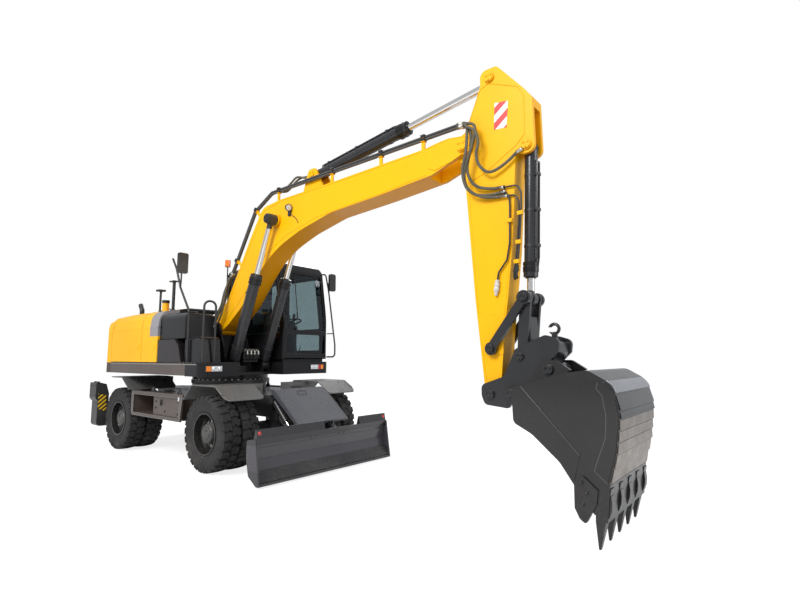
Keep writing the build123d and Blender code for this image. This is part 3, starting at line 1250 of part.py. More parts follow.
# Bucket outline seen from its side: x, z, corner radius; from the lip up the mouth and round the back
BUCKET_ROWS = [
    (6455, 340, 0),
    (6375, 345, 0),
    (6225, 545, 60),
    (6110, 715, 200),
    (5870, 925, 200),
    (5700, 1010, 60),
    (5690, 1325, 25),
    (5800, 1338, 0),
    (6150, 1455, 200),
    (6370, 1487, 120),
    (6562, 1375, 170),
    (6607, 1150, 250),
    (6568, 830, 500),
    (6500, 580, 0),
]
# Inside of the bucket: x, z, corner radius
BUCKET_INSIDE = [
    (6445, 300, 0),
    (6300, 200, 0),
    (5300, 200, 0),
    (5300, 1229, 0),
    (5640, 1310, 0),
    (5804, 1314, 0),
    (6156, 1432, 178),
    (6366, 1463, 98),
    (6542, 1360, 148),
    (6584, 1148, 228),
    (6545, 834, 478),
    (6478, 590, 0),
]
TOOTH_COUNT = 5
TOOTH_HALF = 46.0
TOOTH_TIP = 14.0
EAR_INSIDE = 196.0
EAR_THICK = 42.0


def make_bucket():
    """The bucket: side plates, rolled shell, lip, teeth, side cutters and coupling ears."""
    shell = boom_block(BUCKET_ROWS, BUCKET_HALF) - boom_block(BUCKET_INSIDE, BUCKET_HALF - 20)
    lip = [(6425, 300, 0), (6470, 590, 0), (6506, 590, 0), (6475, 300, 0)]
    shell += boom_block(lip, BUCKET_HALF)
    tooth = [(6386, 73, 6), (6402, 73, 6), (6461, 306, 0), (6512, 560, 0), (6487, 560, 0), (6430, 400, 0),
             (6386, 420, 0), (6380, 290, 0)]
    for number in range(TOOTH_COUNT):
        pitch = (BUCKET_HALF * 2 - TOOTH_HALF * 2 - 10) / (TOOTH_COUNT - 1)
        y = BOOM_Y + (number - (TOOTH_COUNT - 1) / 2) * pitch
        front = [(y - TOOTH_HALF, 570, 0), (y - TOOTH_HALF, 300, 0), (y - TOOTH_TIP, 60, 0),
                 (y + TOOTH_TIP, 60, 0), (y + TOOTH_HALF, 300, 0), (y + TOOTH_HALF, 570, 0)]
        shell += plate(tooth, y - TOOTH_HALF, y + TOOTH_HALF) & cross_plate(front, 6300, 6600)
    ear = [(5430, 1145, 50), (5425, 1300, 70), (5590, 1315, 60), (5700, 1380, 0), (5840, 1565, 60),
           (5970, 1565, 70), (6110, 1476, 0), (6060, 1440, 0), (5720, 1235, 0), (5670, 1130, 40)]
    for side in (-1, 1):
        cutter = [(6310, 262, 20), (6400, 430, 0), (6415, 540, 0), (6293, 642, 25), (6228, 566, 0), (6225, 376, 15),
                  (6262, 300, 15)]
        shell += plate(cutter, BOOM_Y + side * (BUCKET_HALF - 20), BOOM_Y + side * (BUCKET_HALF + 18))
        shell += plate(ear, BOOM_Y + side * EAR_INSIDE, BOOM_Y + side * (EAR_INSIDE + EAR_THICK))
        for pin in (COUPLER_REAR_PIN, COUPLER_FRONT_PIN):
            outside = EAR_INSIDE + EAR_THICK
            shell += bar_y(pin, 52, BOOM_Y + side * outside, BOOM_Y + side * (outside + 16))
    for pin in (COUPLER_REAR_PIN, COUPLER_FRONT_PIN):
        shell += bar_y(pin, 36, BOOM_Y - EAR_INSIDE - EAR_THICK, BOOM_Y + EAR_INSIDE + EAR_THICK)
    return shell


save("bucket", make_bucket())
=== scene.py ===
# %% [markdown]
# # A wheeled excavator, dressed for rendering
# The rigid machine comes from the CAD frame: chassis, upper structure, boom, arm, bucket and all the
# pieces that move. This lesson gives those solids their paint, rubber and glass, and adds the small
# things a modeller would never draw in CAD: tread, bolts, hoses, piping, lamps, treads on the steps.
# Every added piece but the hoses rides on a body of the frame, so it moves with it.

# %% Load the frame
import math

import bmesh
import bpy
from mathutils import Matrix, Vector
from mathutils.bvhtree import BVHTree


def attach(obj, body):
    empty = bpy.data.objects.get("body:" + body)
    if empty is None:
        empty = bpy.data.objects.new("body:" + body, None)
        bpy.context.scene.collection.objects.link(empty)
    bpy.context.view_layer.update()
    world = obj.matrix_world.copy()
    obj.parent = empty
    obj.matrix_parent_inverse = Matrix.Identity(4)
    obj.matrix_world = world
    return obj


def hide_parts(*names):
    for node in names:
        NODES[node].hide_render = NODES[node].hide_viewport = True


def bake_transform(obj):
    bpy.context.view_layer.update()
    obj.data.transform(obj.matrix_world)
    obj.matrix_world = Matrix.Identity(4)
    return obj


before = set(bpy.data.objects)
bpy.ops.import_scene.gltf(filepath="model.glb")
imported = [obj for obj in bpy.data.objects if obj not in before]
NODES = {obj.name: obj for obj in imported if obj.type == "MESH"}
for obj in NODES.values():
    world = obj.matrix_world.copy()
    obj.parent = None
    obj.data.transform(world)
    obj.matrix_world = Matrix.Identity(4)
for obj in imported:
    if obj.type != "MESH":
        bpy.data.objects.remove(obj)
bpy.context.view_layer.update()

# %% [markdown]
# ## Drawing from the slew axis
# The machine was drawn from the axis that its upper part turns on, and then moved so that the whole
# thing is centred over the origin. Adding SHIFT to X brings a drawing measure into the frame.

# %% Places that many pieces share
SHIFT = -2.051
BOOM_Y = -0.20
SIDES = (-1, 1)
BOX_WALL = 1.2495
DOOR_WALL = 1.250
CAB_WALL = 1.2435
DECK_TOP = 1.5125


def at(x, y, z):
    """A point of the drawing, measured from the slew axis on the ground, as a frame position."""
    return Vector((x + SHIFT, y, z))


print("slew axis at", list(at(0, 0, 0)))

# %% [markdown]
# ## Camera
# The view is from ahead and to the right, at a standing person's eye height, looking a little up. A
# short lens makes the bucket loom in front. The camera stays level across; its shift moves the frame.

# %% The camera
scene = bpy.context.scene
camera_data = bpy.data.cameras.new("camera")
camera = bpy.data.objects.new("camera", camera_data)
scene.collection.objects.link(camera)
scene.camera = camera
camera.location = at(7.741, -4.992, 1.590)
camera.rotation_euler = (math.radians(90 + 6.735), 0.0, math.radians(39.90))
camera_data.sensor_width = 36.0
camera_data.lens = 22.235
camera_data.shift_x = 0.0164
camera_data.shift_y = -0.0012
print("camera at", [round(v, 3) for v in camera.location])

# %% [markdown]
# ## Nodes for materials
# A small helper writes a node tree from plain statements, so that each material reads as a recipe:
# base colour, then what time has done to it. Effects used on several finishes are node groups that
# only give back a mask or a normal, and the shader itself stays in the material.

# %% Material helpers


def new_tree(name):
    material = bpy.data.materials.new(name)
    material.use_nodes = True
    tree = material.node_tree
    tree.nodes.clear()
    return material, tree


def node(tree, kind, **settings):
    made = tree.nodes.new(kind)
    for key, value in settings.items():
        setattr(made, key, value)
    return made


def link(tree, source, target):
    tree.links.new(source, target)


def feed(tree, made, values):
    """Give a node's inputs, by index or name, a socket to follow or a plain value."""
    for key, value in values.items():
        if hasattr(value, "is_linked"):
            link(tree, value, made.inputs[key])
        else:
            made.inputs[key].default_value = value
    return made


def maths(tree, operation, *values, **settings):
    """A sum on sockets or numbers."""
    return feed(tree, node(tree, "ShaderNodeMath", operation=operation, **settings),
                dict(enumerate(values))).outputs[0]


def vector_maths(tree, operation, *values):
    """A sum on vectors; a length or a dot product gives a number."""
    made = feed(tree, node(tree, "ShaderNodeVectorMath", operation=operation), dict(enumerate(values)))
    return made.outputs["Value" if operation in ("DOT_PRODUCT", "LENGTH") else "Vector"]


def mix_colour(tree, factor, first, second):
    """A colour mix; first and second may be sockets or colours."""
    made = node(tree, "ShaderNodeMix", data_type="RGBA")
    return feed(tree, made, {0: factor, 6: first, 7: second}).outputs[2]


def mix_shader(tree, factor, first, second):
    """The first shader where the factor is 0 and the second where it is 1."""
    return feed(tree, node(tree, "ShaderNodeMixShader"), {0: factor, 1: first, 2: second}).outputs[0]


def rgb(colour, factor=1.0):
    """A colour with its alpha, made lighter or darker by a factor."""
    return (*(part * factor for part in colour), 1.0)


def ramp(tree, factor, low=0.0, high=1.0, start=0.0, end=1.0):
    """A value that goes from start to end while the factor goes from low to high."""
    made = node(tree, "ShaderNodeMapRange")
    return feed(tree, made, dict(enumerate((factor, low, high, start, end)))).outputs[0]


def noise(tree, vector, scale, detail, rough=0.55):
    made = node(tree, "ShaderNodeTexNoise")
    feed(tree, made, {"Vector": vector, "Scale": scale, "Detail": detail, "Roughness": rough})
    return made.outputs["Fac"]


def raised(tree, height, strength, distance):
    """A normal that follows a height."""
    made = node(tree, "ShaderNodeBump")
    return feed(tree, made, {"Strength": strength, "Distance": distance, "Height": height}).outputs["Normal"]


def place_on(tree):
    """The shaded point in the object's own coordinates, which are the frame's."""
    return node(tree, "ShaderNodeTexCoord").outputs["Object"]


def part_of(tree, vector, axis):
    """One coordinate of a vector."""
    return feed(tree, node(tree, "ShaderNodeSeparateXYZ"), {0: vector}).outputs[axis]


def upwards(tree):
    """How far a face looks up: 1 for a floor, -1 for a ceiling."""
    return part_of(tree, node(tree, "ShaderNodeNewGeometry").outputs["Normal"], "Z")


print("material helpers ready")

# %% [markdown]
# ## Effects
# Dust, the waviness of sprayed paint, boxes and stripes of another colour, a ring of paint about a pin
# and the pattern of tread plate: each is a small tree with a few named inputs and one output.

# %% Effect groups
NUMBER, VECTOR = "NodeSocketFloat", "NodeSocketVector"


def start_group(name, inputs, output, kind):
    """An effect group: its tree, the sockets that come in by name, and the socket that goes out."""
    group = bpy.data.node_groups.new(name, "ShaderNodeTree")
    for label, input_kind, value in inputs:
        socket = group.interface.new_socket(label, in_out="INPUT", socket_type=input_kind)
        if value is not None:
            socket.default_value = value
    group.interface.new_socket(output, in_out="OUTPUT", socket_type=kind)
    return group, node(group, "NodeGroupInput").outputs, node(group, "NodeGroupOutput").inputs[output]


def make_dust_group():
    """How much dust lies on a point: more near the ground, on faces that look up, and in patches."""
    group, given, result = start_group("dust", (("Amount", NUMBER, 0.5), ("Top", NUMBER, 1.2)), "Mask",
                                       NUMBER)
    place = place_on(group)
    low_down = ramp(group, part_of(group, place, "Z"), 0.0, given["Top"], 1.0, 0.0)
    spots = ramp(group, noise(group, place, 3.1, 6.0, 0.62), 0.38, 0.72)
    grains = ramp(group, noise(group, place, 38.0, 3.0), 0.30, 0.75)
    lying = ramp(group, upwards(group), 0.2, 1.0)
    dusty = maths(group, "MULTIPLY_ADD", lying, 0.55, low_down)
    dusty = maths(group, "MULTIPLY", maths(group, "MULTIPLY", dusty, spots), grains)
    link(group, maths(group, "MULTIPLY", dusty, given["Amount"], use_clamp=True), result)
    return group


def make_orange_peel_group():
    """The faint waviness of sprayed paint, as a normal."""
    group, given, result = start_group(
        "orange_peel", (("Scale", NUMBER, 160.0), ("Strength", NUMBER, 0.06)), "Normal", VECTOR)
    waves = noise(group, place_on(group), given["Scale"], 2.0, 0.5)
    link(group, raised(group, waves, given["Strength"], 0.002), result)
    return group


def make_box_group():
    """A mask that is 1 inside an upright box."""
    group, given, result = start_group("inside_box", (("Middle", VECTOR, None), ("Half", VECTOR, None)),
                                       "Mask", NUMBER)
    away = vector_maths(group, "ABSOLUTE", vector_maths(group, "SUBTRACT", place_on(group), given["Middle"]))
    over = feed(group, node(group, "ShaderNodeSeparateXYZ"),
                {0: vector_maths(group, "SUBTRACT", away, given["Half"])}).outputs
    most = maths(group, "MAXIMUM", maths(group, "MAXIMUM", over["X"], over["Y"]), over["Z"])
    link(group, maths(group, "LESS_THAN", most, 0.0), result)
    return group


def make_stripe_group():
    """Parallel bands square to a direction."""
    group, given, result = start_group("stripes", (("Direction", VECTOR, None), ("Share", NUMBER, 0.5)),
                                       "Mask", NUMBER)
    run = maths(group, "FRACT", vector_maths(group, "DOT_PRODUCT", place_on(group), given["Direction"]))
    link(group, maths(group, "LESS_THAN", run, given["Share"]), result)
    return group


def make_near_group():
    """A mask that is 1 within a radius of a cross axis through a centre."""
    group, given, result = start_group("near_pin", (("Centre", VECTOR, None), ("Radius", NUMBER, 0.1)),
                                       "Mask", NUMBER)
    away = vector_maths(group, "SUBTRACT", place_on(group), given["Centre"])
    flat = vector_maths(group, "MULTIPLY", away, (1.0, 0.0, 1.0))
    link(group, maths(group, "LESS_THAN", vector_maths(group, "LENGTH", flat), given["Radius"]), result)
    return group


def make_checker_group():
    """Raised lozenges of tread plate, two ways by turns, as a normal."""
    group, _, result = start_group("checker_plate", (), "Normal", VECTOR)
    place = place_on(group)
    heights = []
    for slope in (1.0, -1.0):
        waves = []
        for axis, count in (((1.0, slope, 0.0), 26.0), ((-slope * 0.33, 1.0, 0.0), 70.0)):
            run = vector_maths(group, "DOT_PRODUCT", place, [value * count for value in axis])
            waves.append(maths(group, "SINE", maths(group, "MULTIPLY", run, 3.14159)))
        heights.append(maths(group, "MULTIPLY", *waves))
    lozenges = ramp(group, maths(group, "MAXIMUM", *heights), 0.25, 0.6)
    link(group, raised(group, lozenges, 1.0, 0.007), result)
    return group


DUST = make_dust_group()
CHECKER = make_checker_group()
ORANGE_PEEL = make_orange_peel_group()
INSIDE_BOX = make_box_group()
STRIPES = make_stripe_group()
NEAR_PIN = make_near_group()
print("effect groups", DUST.name, CHECKER.name, ORANGE_PEEL.name, INSIDE_BOX.name, STRIPES.name,
      NEAR_PIN.name)

# %% [markdown]
# ## Paints
# Sprayed steel is a coloured base under a clear coat. The yellow is deep and warm; the dark grey of
# blade, bucket and chassis is the same paint, only matter. Both carry slow changes of tone, a little
# waviness in the coat, and dust that gathers low down and on ledges.

# %% Sprayed paint


def effect(tree, group, output, **values):
    """One output of an effect group with its inputs set."""
    return feed(tree, node(tree, "ShaderNodeGroup", node_tree=group), values).outputs[output]


def start_finish(name):
    """A material with its shader joined to the output, and the shaded point."""
    material, tree = new_tree(name)
    shader = node(tree, "ShaderNodeBsdfPrincipled")
    link(tree, shader.outputs[0], node(tree, "ShaderNodeOutputMaterial").inputs["Surface"])
    return material, tree, shader, place_on(tree)


def zone_mask(tree, low, high, *direction):
    """A mask inside a box given by two corners in slew-axis metres, striped where a direction is given.

    The stripes lie square to the direction, and its length is their number a metre."""
    one, two = at(*low), at(*high)
    mask = effect(tree, INSIDE_BOX, "Mask", Middle=(one + two) / 2, Half=(two - one) / 2)
    for across in direction:
        mask = maths(tree, "MULTIPLY", mask, effect(tree, STRIPES, "Mask", Direction=across))
    return mask


def sprayed_paint(name, colour, deep, roughness, coat, dust_amount, dust_top, peel=0.05, zones=(), gloss=0.5,
                  below=None):
    """Paint with slow changes of tone between two colours, a clear coat and dust.

    Each zone is a box painted another colour: low corner, high corner, colour and, for stripes, a direction.
    Faces that look down take the colour called below: a deeper tone that is painted shade on the undersides."""
    material, tree, shader, place = start_finish(name)
    tone = ramp(tree, noise(tree, place, 1.3, 5.0, 0.6), 0.3, 0.75)
    base = mix_colour(tree, tone, rgb(colour), rgb(deep))
    for low, high, other, *direction in zones:
        base = mix_colour(tree, zone_mask(tree, low, high, *direction), base, rgb(other))
    # Painted shade: faces that look down are mixed towards a deeper colour.
    if below:
        base = mix_colour(tree, ramp(tree, upwards(tree), -0.15, -0.75), base, rgb(below))
    dust = effect(tree, DUST, "Mask", Amount=dust_amount, Top=dust_top)
    link(tree, mix_colour(tree, dust, base, rgb((0.36, 0.31, 0.25))), shader.inputs["Base Color"])
    rough = ramp(tree, noise(tree, place, 11.0, 6.0, 0.65), start=roughness - 0.07, end=roughness + 0.10)
    link(tree, maths(tree, "ADD", rough, dust, use_clamp=True), shader.inputs["Roughness"])
    shader.inputs["Coat Weight"].default_value = coat
    shader.inputs["Coat Roughness"].default_value = 0.12
    shader.inputs["Specular IOR Level"].default_value = gloss
    link(tree, effect(tree, ORANGE_PEEL, "Normal", Strength=peel), shader.inputs["Normal"])
    return material


YELLOW = (0.93, 0.470, 0.003)
YELLOW_DEEP = (0.88, 0.420, 0.002)
BROWN_GREY = (0.068, 0.050, 0.043)
BLACK = (0.012, 0.012, 0.012)
YELLOW_COAT = (YELLOW, YELLOW_DEEP, 0.36, 0.10, 0.14, 1.0)
# The yellow's downward faces get a deeper orange as painted shade.
yellow_paint = sprayed_paint("yellow_paint", *YELLOW_COAT, gloss=0.18, below=(0.60, 0.245, 0.002))
hood_paint = sprayed_paint("hood_paint", *YELLOW_COAT, gloss=0.18, zones=(
    ((-0.47, -1.30, 1.93), (0.20, -0.90, 2.60), (0.27, 0.26, 0.27)),
    ((-0.62, -0.90, 1.93), (0.20, 0.26, 2.60), BLACK)))
tail_paint = sprayed_paint("tail_paint", *YELLOW_COAT, gloss=0.18, zones=(
    ((-3.0, -1.5, 1.0), (-1.0, 1.5, 1.500), BROWN_GREY),))
charcoal_paint = sprayed_paint("charcoal_paint", (0.017, 0.017, 0.019), (0.026, 0.026, 0.028), 0.24, 0.25,
                               0.12, 1.2, gloss=0.35)
bucket_paint = sprayed_paint("bucket_paint", (0.0095, 0.0085, 0.0090), (0.017, 0.0155, 0.0155), 0.27, 0.30,
                             0.12, 0.9, gloss=0.42)
BLADE_COAT = ((0.040, 0.037, 0.044), (0.050, 0.046, 0.054), 0.22, 0.45, 0.10, 0.3)
# Painted shade: the band above the upper fold and the strip along the foot are painted darker than the face
# between them, for the light falling differently on the folded plate.
blade_paint = sprayed_paint("blade_paint", *BLADE_COAT, 0.015, zones=(
    ((-9.0, -2.0, 0.505), (9.0, 2.0, 0.9), (0.017, 0.016, 0.019)),
    ((-9.0, -2.0, 0.0), (9.0, 2.0, 0.20), (0.026, 0.025, 0.028))))
cover_paint = sprayed_paint("cover_paint", (0.062, 0.063, 0.072), (0.078, 0.079, 0.088), 0.26, 0.45, 0.12,
                            1.3)
chassis_paint = sprayed_paint("chassis_paint", (0.024, 0.024, 0.026), (0.038, 0.037, 0.037), 0.42, 0.22, 0.32,
                              1.4)
brown_grey_paint = sprayed_paint("brown_grey_paint", BROWN_GREY, (0.086, 0.064, 0.055), 0.36, 0.20, 0.25, 1.5)
cabinet_paint = sprayed_paint("cabinet_paint", (0.017, 0.013, 0.014), (0.023, 0.018, 0.019), 0.26, 0.20, 0.05,
                              1.5, gloss=0.3)
cab_black = sprayed_paint("cab_black", (0.008, 0.0078, 0.0085), (0.013, 0.0125, 0.0135), 0.17, 0.16, 0.03,
                          1.5, 0.03, gloss=0.24)
SATIN_COAT = ((0.014, 0.014, 0.015), (0.021, 0.021, 0.022), 0.42, 0.1, 0.10, 1.6)
satin_black = sprayed_paint("satin_black", *SATIN_COAT)
fitting_paint = sprayed_paint("fitting_paint", *SATIN_COAT, zones=(
    ((-1.00, -0.90, 2.36), (-0.80, -0.70, 2.545), YELLOW),))
rim_black = sprayed_paint("rim_black", (0.008, 0.008, 0.009), (0.012, 0.012, 0.012), 0.20, 0.30, 0.10, 1.2,
                          gloss=0.35)
hub_paint = sprayed_paint("hub_paint", (0.040, 0.040, 0.041), (0.060, 0.059, 0.058), 0.45, 0.10, 0.5, 1.2)


def tread_plate(name, colour, metallic, roughness):
    """Rolled plate with raised lozenges."""
    material, tree, shader, place = start_finish(name)
    tone = ramp(tree, noise(tree, place, 4.0, 5.0, 0.6), 0.3, 0.75)
    base = mix_colour(tree, tone, rgb(colour), rgb(colour, 0.75))
    dust = effect(tree, DUST, "Mask", Amount=0.3)
    link(tree, mix_colour(tree, dust, base, rgb((0.30, 0.26, 0.21))), shader.inputs["Base Color"])
    link(tree, effect(tree, CHECKER, "Normal"), shader.inputs["Normal"])
    shader.inputs["Metallic"].default_value = metallic
    shader.inputs["Roughness"].default_value = roughness
    return material


checker_paint = tread_plate("checker_plate", (0.20, 0.197, 0.192), 0.35, 0.32)
step_plate = tread_plate("step_plate", (0.020, 0.020, 0.021), 0.0, 0.40)
pipe_paint = sprayed_paint("pipe_paint", (0.055, 0.053, 0.050), (0.075, 0.072, 0.068), 0.30, 0.35, 0.10, 1.2)
white_wrap = sprayed_paint("white_wrap", (0.62, 0.60, 0.55), (0.45, 0.44, 0.42), 0.45, 0.25, 0.20, 1.5)
EVERYWHERE = ((-9, -2, 0), (9, 2, 6))
red_white = sprayed_paint("red_white_stripes", (0.80, 0.80, 0.78), (0.72, 0.72, 0.70), 0.35, 0.30, 0.08, 1.0,
                          zones=((*EVERYWHERE, (0.62, 0.020, 0.020), (-4.6, 0.0, 6.0)),))
BAR_COAT = ((0.80, 0.50, 0.02), (0.72, 0.44, 0.02), 0.40, 0.20, 0.15, 1.4)
yellow_black, yellow_black_left = (
    sprayed_paint(f"yellow_black_stripes_{hand}", *BAR_COAT, zones=((*EVERYWHERE, BLACK, (0.0, lean, 13.0)),))
    for hand, lean in (("right", -11.0), ("left", 11.0)))
print("paints ready")

# %% [markdown]
# ## Metal, rubber, glass and cloth
# Cylinder rods are hard chrome, nearly a mirror. Tyres are black
# rubber greyed by dust. Glass is thin and lightly tinted, and lets the cab's inside show.

# %% Other finishes


def simple_metal(name, colour, roughness, scale):
    material, tree, shader, place = start_finish(name)
    wear = ramp(tree, noise(tree, place, scale, 5.0, 0.7), 0.25, 0.8)
    link(tree, mix_colour(tree, wear, rgb(colour), rgb(colour, 0.78)), shader.inputs["Base Color"])
    link(tree, ramp(tree, wear, start=roughness * 0.7, end=roughness * 1.5), shader.inputs["Roughness"])
    shader.inputs["Metallic"].default_value = 1.0
    return material


bare_steel = simple_metal("bare_steel", (0.42, 0.41, 0.40), 0.38, 25.0)


def rod_finish(name, x, z, radius):
    """Hard chrome, with the welded eye at the rod's end painted."""
    material, tree, shader, place = start_finish(name)
    wear = ramp(tree, noise(tree, place, 60.0, 5.0, 0.7), 0.25, 0.8)
    shine = mix_colour(tree, wear, rgb((0.84, 0.82, 0.79)), rgb((0.68, 0.66, 0.63)))
    painted = effect(tree, NEAR_PIN, "Mask", Centre=at(x, 0.0, z), Radius=radius)
    link(tree, mix_colour(tree, painted, shine, rgb((0.040, 0.040, 0.044))), shader.inputs["Base Color"])
    link(tree, ramp(tree, painted, 1.0, 0.0), shader.inputs["Metallic"])
    link(tree, ramp(tree, painted, start=0.09, end=0.42), shader.inputs["Roughness"])
    return material


boom_rod_finish = rod_finish("boom_rod_chrome", 1.673, 3.683, 0.150)
arm_rod_finish = rod_finish("arm_rod_chrome", 5.311, 4.662, 0.105)
bucket_rod_finish = rod_finish("bucket_rod_chrome", 5.652, 2.185, 0.085)
blade_rod_finish = rod_finish("blade_rod_chrome", 2.185, 0.520, 0.060)
zinc = simple_metal("zinc_plate", (0.62, 0.60, 0.54), 0.30, 80.0)


def make_rubber(name, colour, dusty, amount):
    material, tree, shader, place = start_finish(name)
    patches = ramp(tree, noise(tree, place, 7.0, 7.0, 0.7), 0.35, 0.8)
    dust = effect(tree, DUST, "Mask", Amount=amount, Top=1.3)
    base = mix_colour(tree, patches, rgb(colour), rgb(colour, 1.6))
    link(tree, mix_colour(tree, dust, base, rgb(dusty)), shader.inputs["Base Color"])
    shader.inputs["Roughness"].default_value = 0.82
    shader.inputs["Specular IOR Level"].default_value = 0.35
    link(tree, raised(tree, noise(tree, place, 90.0, 4.0), 0.25, 0.003), shader.inputs["Normal"])
    return material


tyre_rubber = make_rubber("tyre_rubber", (0.017, 0.017, 0.018), (0.16, 0.14, 0.12), 0.75)
hose_rubber = make_rubber("hose_rubber", (0.016, 0.016, 0.017), (0.16, 0.14, 0.12), 0.2)
hose_sleeve = make_rubber("hose_sleeve", (0.090, 0.082, 0.060), (0.22, 0.19, 0.15), 0.3)


def make_glass(name, tint, density):
    """Thin tinted glass: mostly clear, with a gloss that grows towards its edges."""
    material, tree = new_tree(name)
    clear = node(tree, "ShaderNodeBsdfTransparent")
    clear.inputs["Color"].default_value = rgb(tint)
    gloss = node(tree, "ShaderNodeBsdfGlossy")
    gloss.inputs["Color"].default_value = rgb((0.9, 0.95, 1.0))
    gloss.inputs["Roughness"].default_value = 0.02
    edge = node(tree, "ShaderNodeFresnel")
    edge.inputs["IOR"].default_value = density
    outside = maths(tree, "SUBTRACT", 1.0, node(tree, "ShaderNodeNewGeometry").outputs["Backfacing"])
    shown = mix_shader(tree, maths(tree, "MULTIPLY", edge.outputs[0], outside), clear.outputs[0],
                       gloss.outputs[0])
    link(tree, shown, node(tree, "ShaderNodeOutputMaterial").inputs["Surface"])
    return material


cab_glazing = make_glass("cab_glazing", (0.60, 0.66, 0.67), 1.45)
mirror_silver = simple_metal("mirror_silver", (0.88, 0.90, 0.92), 0.03, 2.0)
lamp_glass = make_glass("lamp_glass", (0.85, 0.88, 0.90), 1.6)


def clear_plastic(name, colour, glow):
    """A coloured moulded lens with fine ribs and a faint painted glow, though no lamp behind it is lit."""
    material, tree, shader, place = start_finish(name)
    ribs = feed(tree, node(tree, "ShaderNodeTexWave", bands_direction="Z"), {"Scale": 34.0, "Vector": place})
    link(tree, mix_colour(tree, ribs.outputs["Fac"], rgb(colour), rgb(colour, 0.7)),
         shader.inputs["Base Color"])
    shader.inputs["Roughness"].default_value = 0.12
    shader.inputs["Coat Weight"].default_value = 0.8
    shader.inputs["Emission Color"].default_value = rgb(colour)
    # The emission is a painted glow: the lamps are not lit and the reflectors have none.
    shader.inputs["Emission Strength"].default_value = glow
    return material


amber_lens = clear_plastic("amber_lens", (0.95, 0.26, 0.01), 0.10)
beacon_finish = sprayed_paint("beacon_finish", (0.92, 0.20, 0.008), (0.85, 0.16, 0.006), 0.14, 0.6, 0.02, 1.5,
                              zones=(
    ((-9.0, -2.0, 0.0), (9.0, 2.0, 3.322), BLACK),))
red_lens = clear_plastic("red_lens", (0.60, 0.015, 0.012), 0.05)
clear_lens = clear_plastic("clear_lens", (0.72, 0.74, 0.76), 0.05)


def make_cloth(name, colour):
    """A woven seat cloth: two crossing waves that also raise the weave."""
    material, tree, shader, place = start_finish(name)
    waves = [feed(tree, node(tree, "ShaderNodeTexWave", bands_direction=direction),
                  {"Scale": 120.0, "Vector": place})
             for direction in ("X", "Y")]
    weave = maths(tree, "MULTIPLY", *(wave.outputs["Fac"] for wave in waves))
    link(tree, mix_colour(tree, weave, rgb(colour), rgb(colour, 2.2)), shader.inputs["Base Color"])
    link(tree, raised(tree, weave, 0.35, 0.001), shader.inputs["Normal"])
    shader.inputs["Roughness"].default_value = 0.92
    shader.inputs["Sheen Weight"].default_value = 0.3
    return material


seat_cloth = make_cloth("seat_cloth", (0.030, 0.030, 0.034))
# Bright and dim steel for the bucket's wear strips: painted sheen, each strip set bright, dark or dim as the
# light would catch it.
bright_sheen_steel = simple_metal("bright_sheen_steel", (0.46, 0.46, 0.49), 0.20, 3.0)
dim_sheen_steel = simple_metal("dim_sheen_steel", (0.29, 0.255, 0.225), 0.30, 6.0)
print("metal, rubber, glass, lenses and cloth ready")

# %% [markdown]
# ## Studio
# A pale floor and an even white surround. The camera, and mirrors and glass, see plain white where
# there is nothing else, while the lamps keep a level at which paint shows its own colour.

# %% Floor, world and lamps


def emitter(tree, kind, colour=None, strength=None):
    """A plain shader or background with its colour and strength."""
    made = node(tree, kind)
    if colour:
        made.inputs["Color"].default_value = rgb(colour)
    if strength is not None:
        made.inputs["Strength"].default_value = strength
    return made.outputs[0]


def make_floor():
    data = bpy.data.meshes.new("studio_floor")
    half = 40.0
    data.from_pydata([(-half, -half, 0), (half, -half, 0), (half, half, 0), (-half, half, 0)], [],
                     [(0, 1, 2, 3)])
    floor = bpy.data.objects.new("studio_floor", data)
    scene.collection.objects.link(floor)
    material, tree = new_tree("pale_floor")
    matt = emitter(tree, "ShaderNodeBsdfDiffuse", (0.72, 0.72, 0.72))
    shade = emitter(tree, "ShaderNodeBsdfDiffuse", (0.36, 0.36, 0.36))
    glow = emitter(tree, "ShaderNodeEmission", strength=0.80)
    seen_floor = feed(tree, node(tree, "ShaderNodeAddShader"), {0: shade, 1: glow}).outputs[0]
    path = node(tree, "ShaderNodeLightPath").outputs
    shown = mix_shader(tree, path["Is Camera Ray"], matt, seen_floor)
    link(tree, shown, node(tree, "ShaderNodeOutputMaterial").inputs["Surface"])
    data.materials.append(material)


def make_world():
    world = bpy.data.worlds.new("studio")
    scene.world = world
    world.use_nodes = True
    tree = world.node_tree
    tree.nodes.clear()
    level = emitter(tree, "ShaderNodeBackground", (0.93, 0.96, 1.0), 0.62)
    white = emitter(tree, "ShaderNodeBackground", (1, 1, 1), 1.0)
    path = node(tree, "ShaderNodeLightPath").outputs
    looking = maths(tree, "MAXIMUM", path["Is Camera Ray"], path["Is Transmission Ray"])
    shown = mix_shader(tree, looking, level, white)
    link(tree, shown, node(tree, "ShaderNodeOutputWorld").inputs["Surface"])


def add_area(name, place, target, size, power):
    data = bpy.data.lights.new(name, "AREA")
    data.shape = "DISK"
    data.size = size
    data.energy = power
    lamp = bpy.data.objects.new(name, data)
    scene.collection.objects.link(lamp)
    lamp.location = place
    lamp.rotation_euler = (Vector(target) - Vector(place)).to_track_quat("-Z", "Y").to_euler()


make_floor()
make_world()
add_area("key", (2.0, -13.0, 11.0), (0.0, 0.0, 2.0), 7.0, 2100.0)
add_area("fill", (13.0, 3.0, 6.0), (0.0, 0.0, 2.0), 7.0, 500.0)
add_area("rim", (-8.0, 9.0, 10.0), (0.0, 0.0, 2.0), 6.0, 700.0)
scene.view_settings.view_transform = "Standard"
print("studio ready")

# %% [markdown]
# ## Paint on the solids
# A CAD node whose shape is right only needs its finish. One table says which.

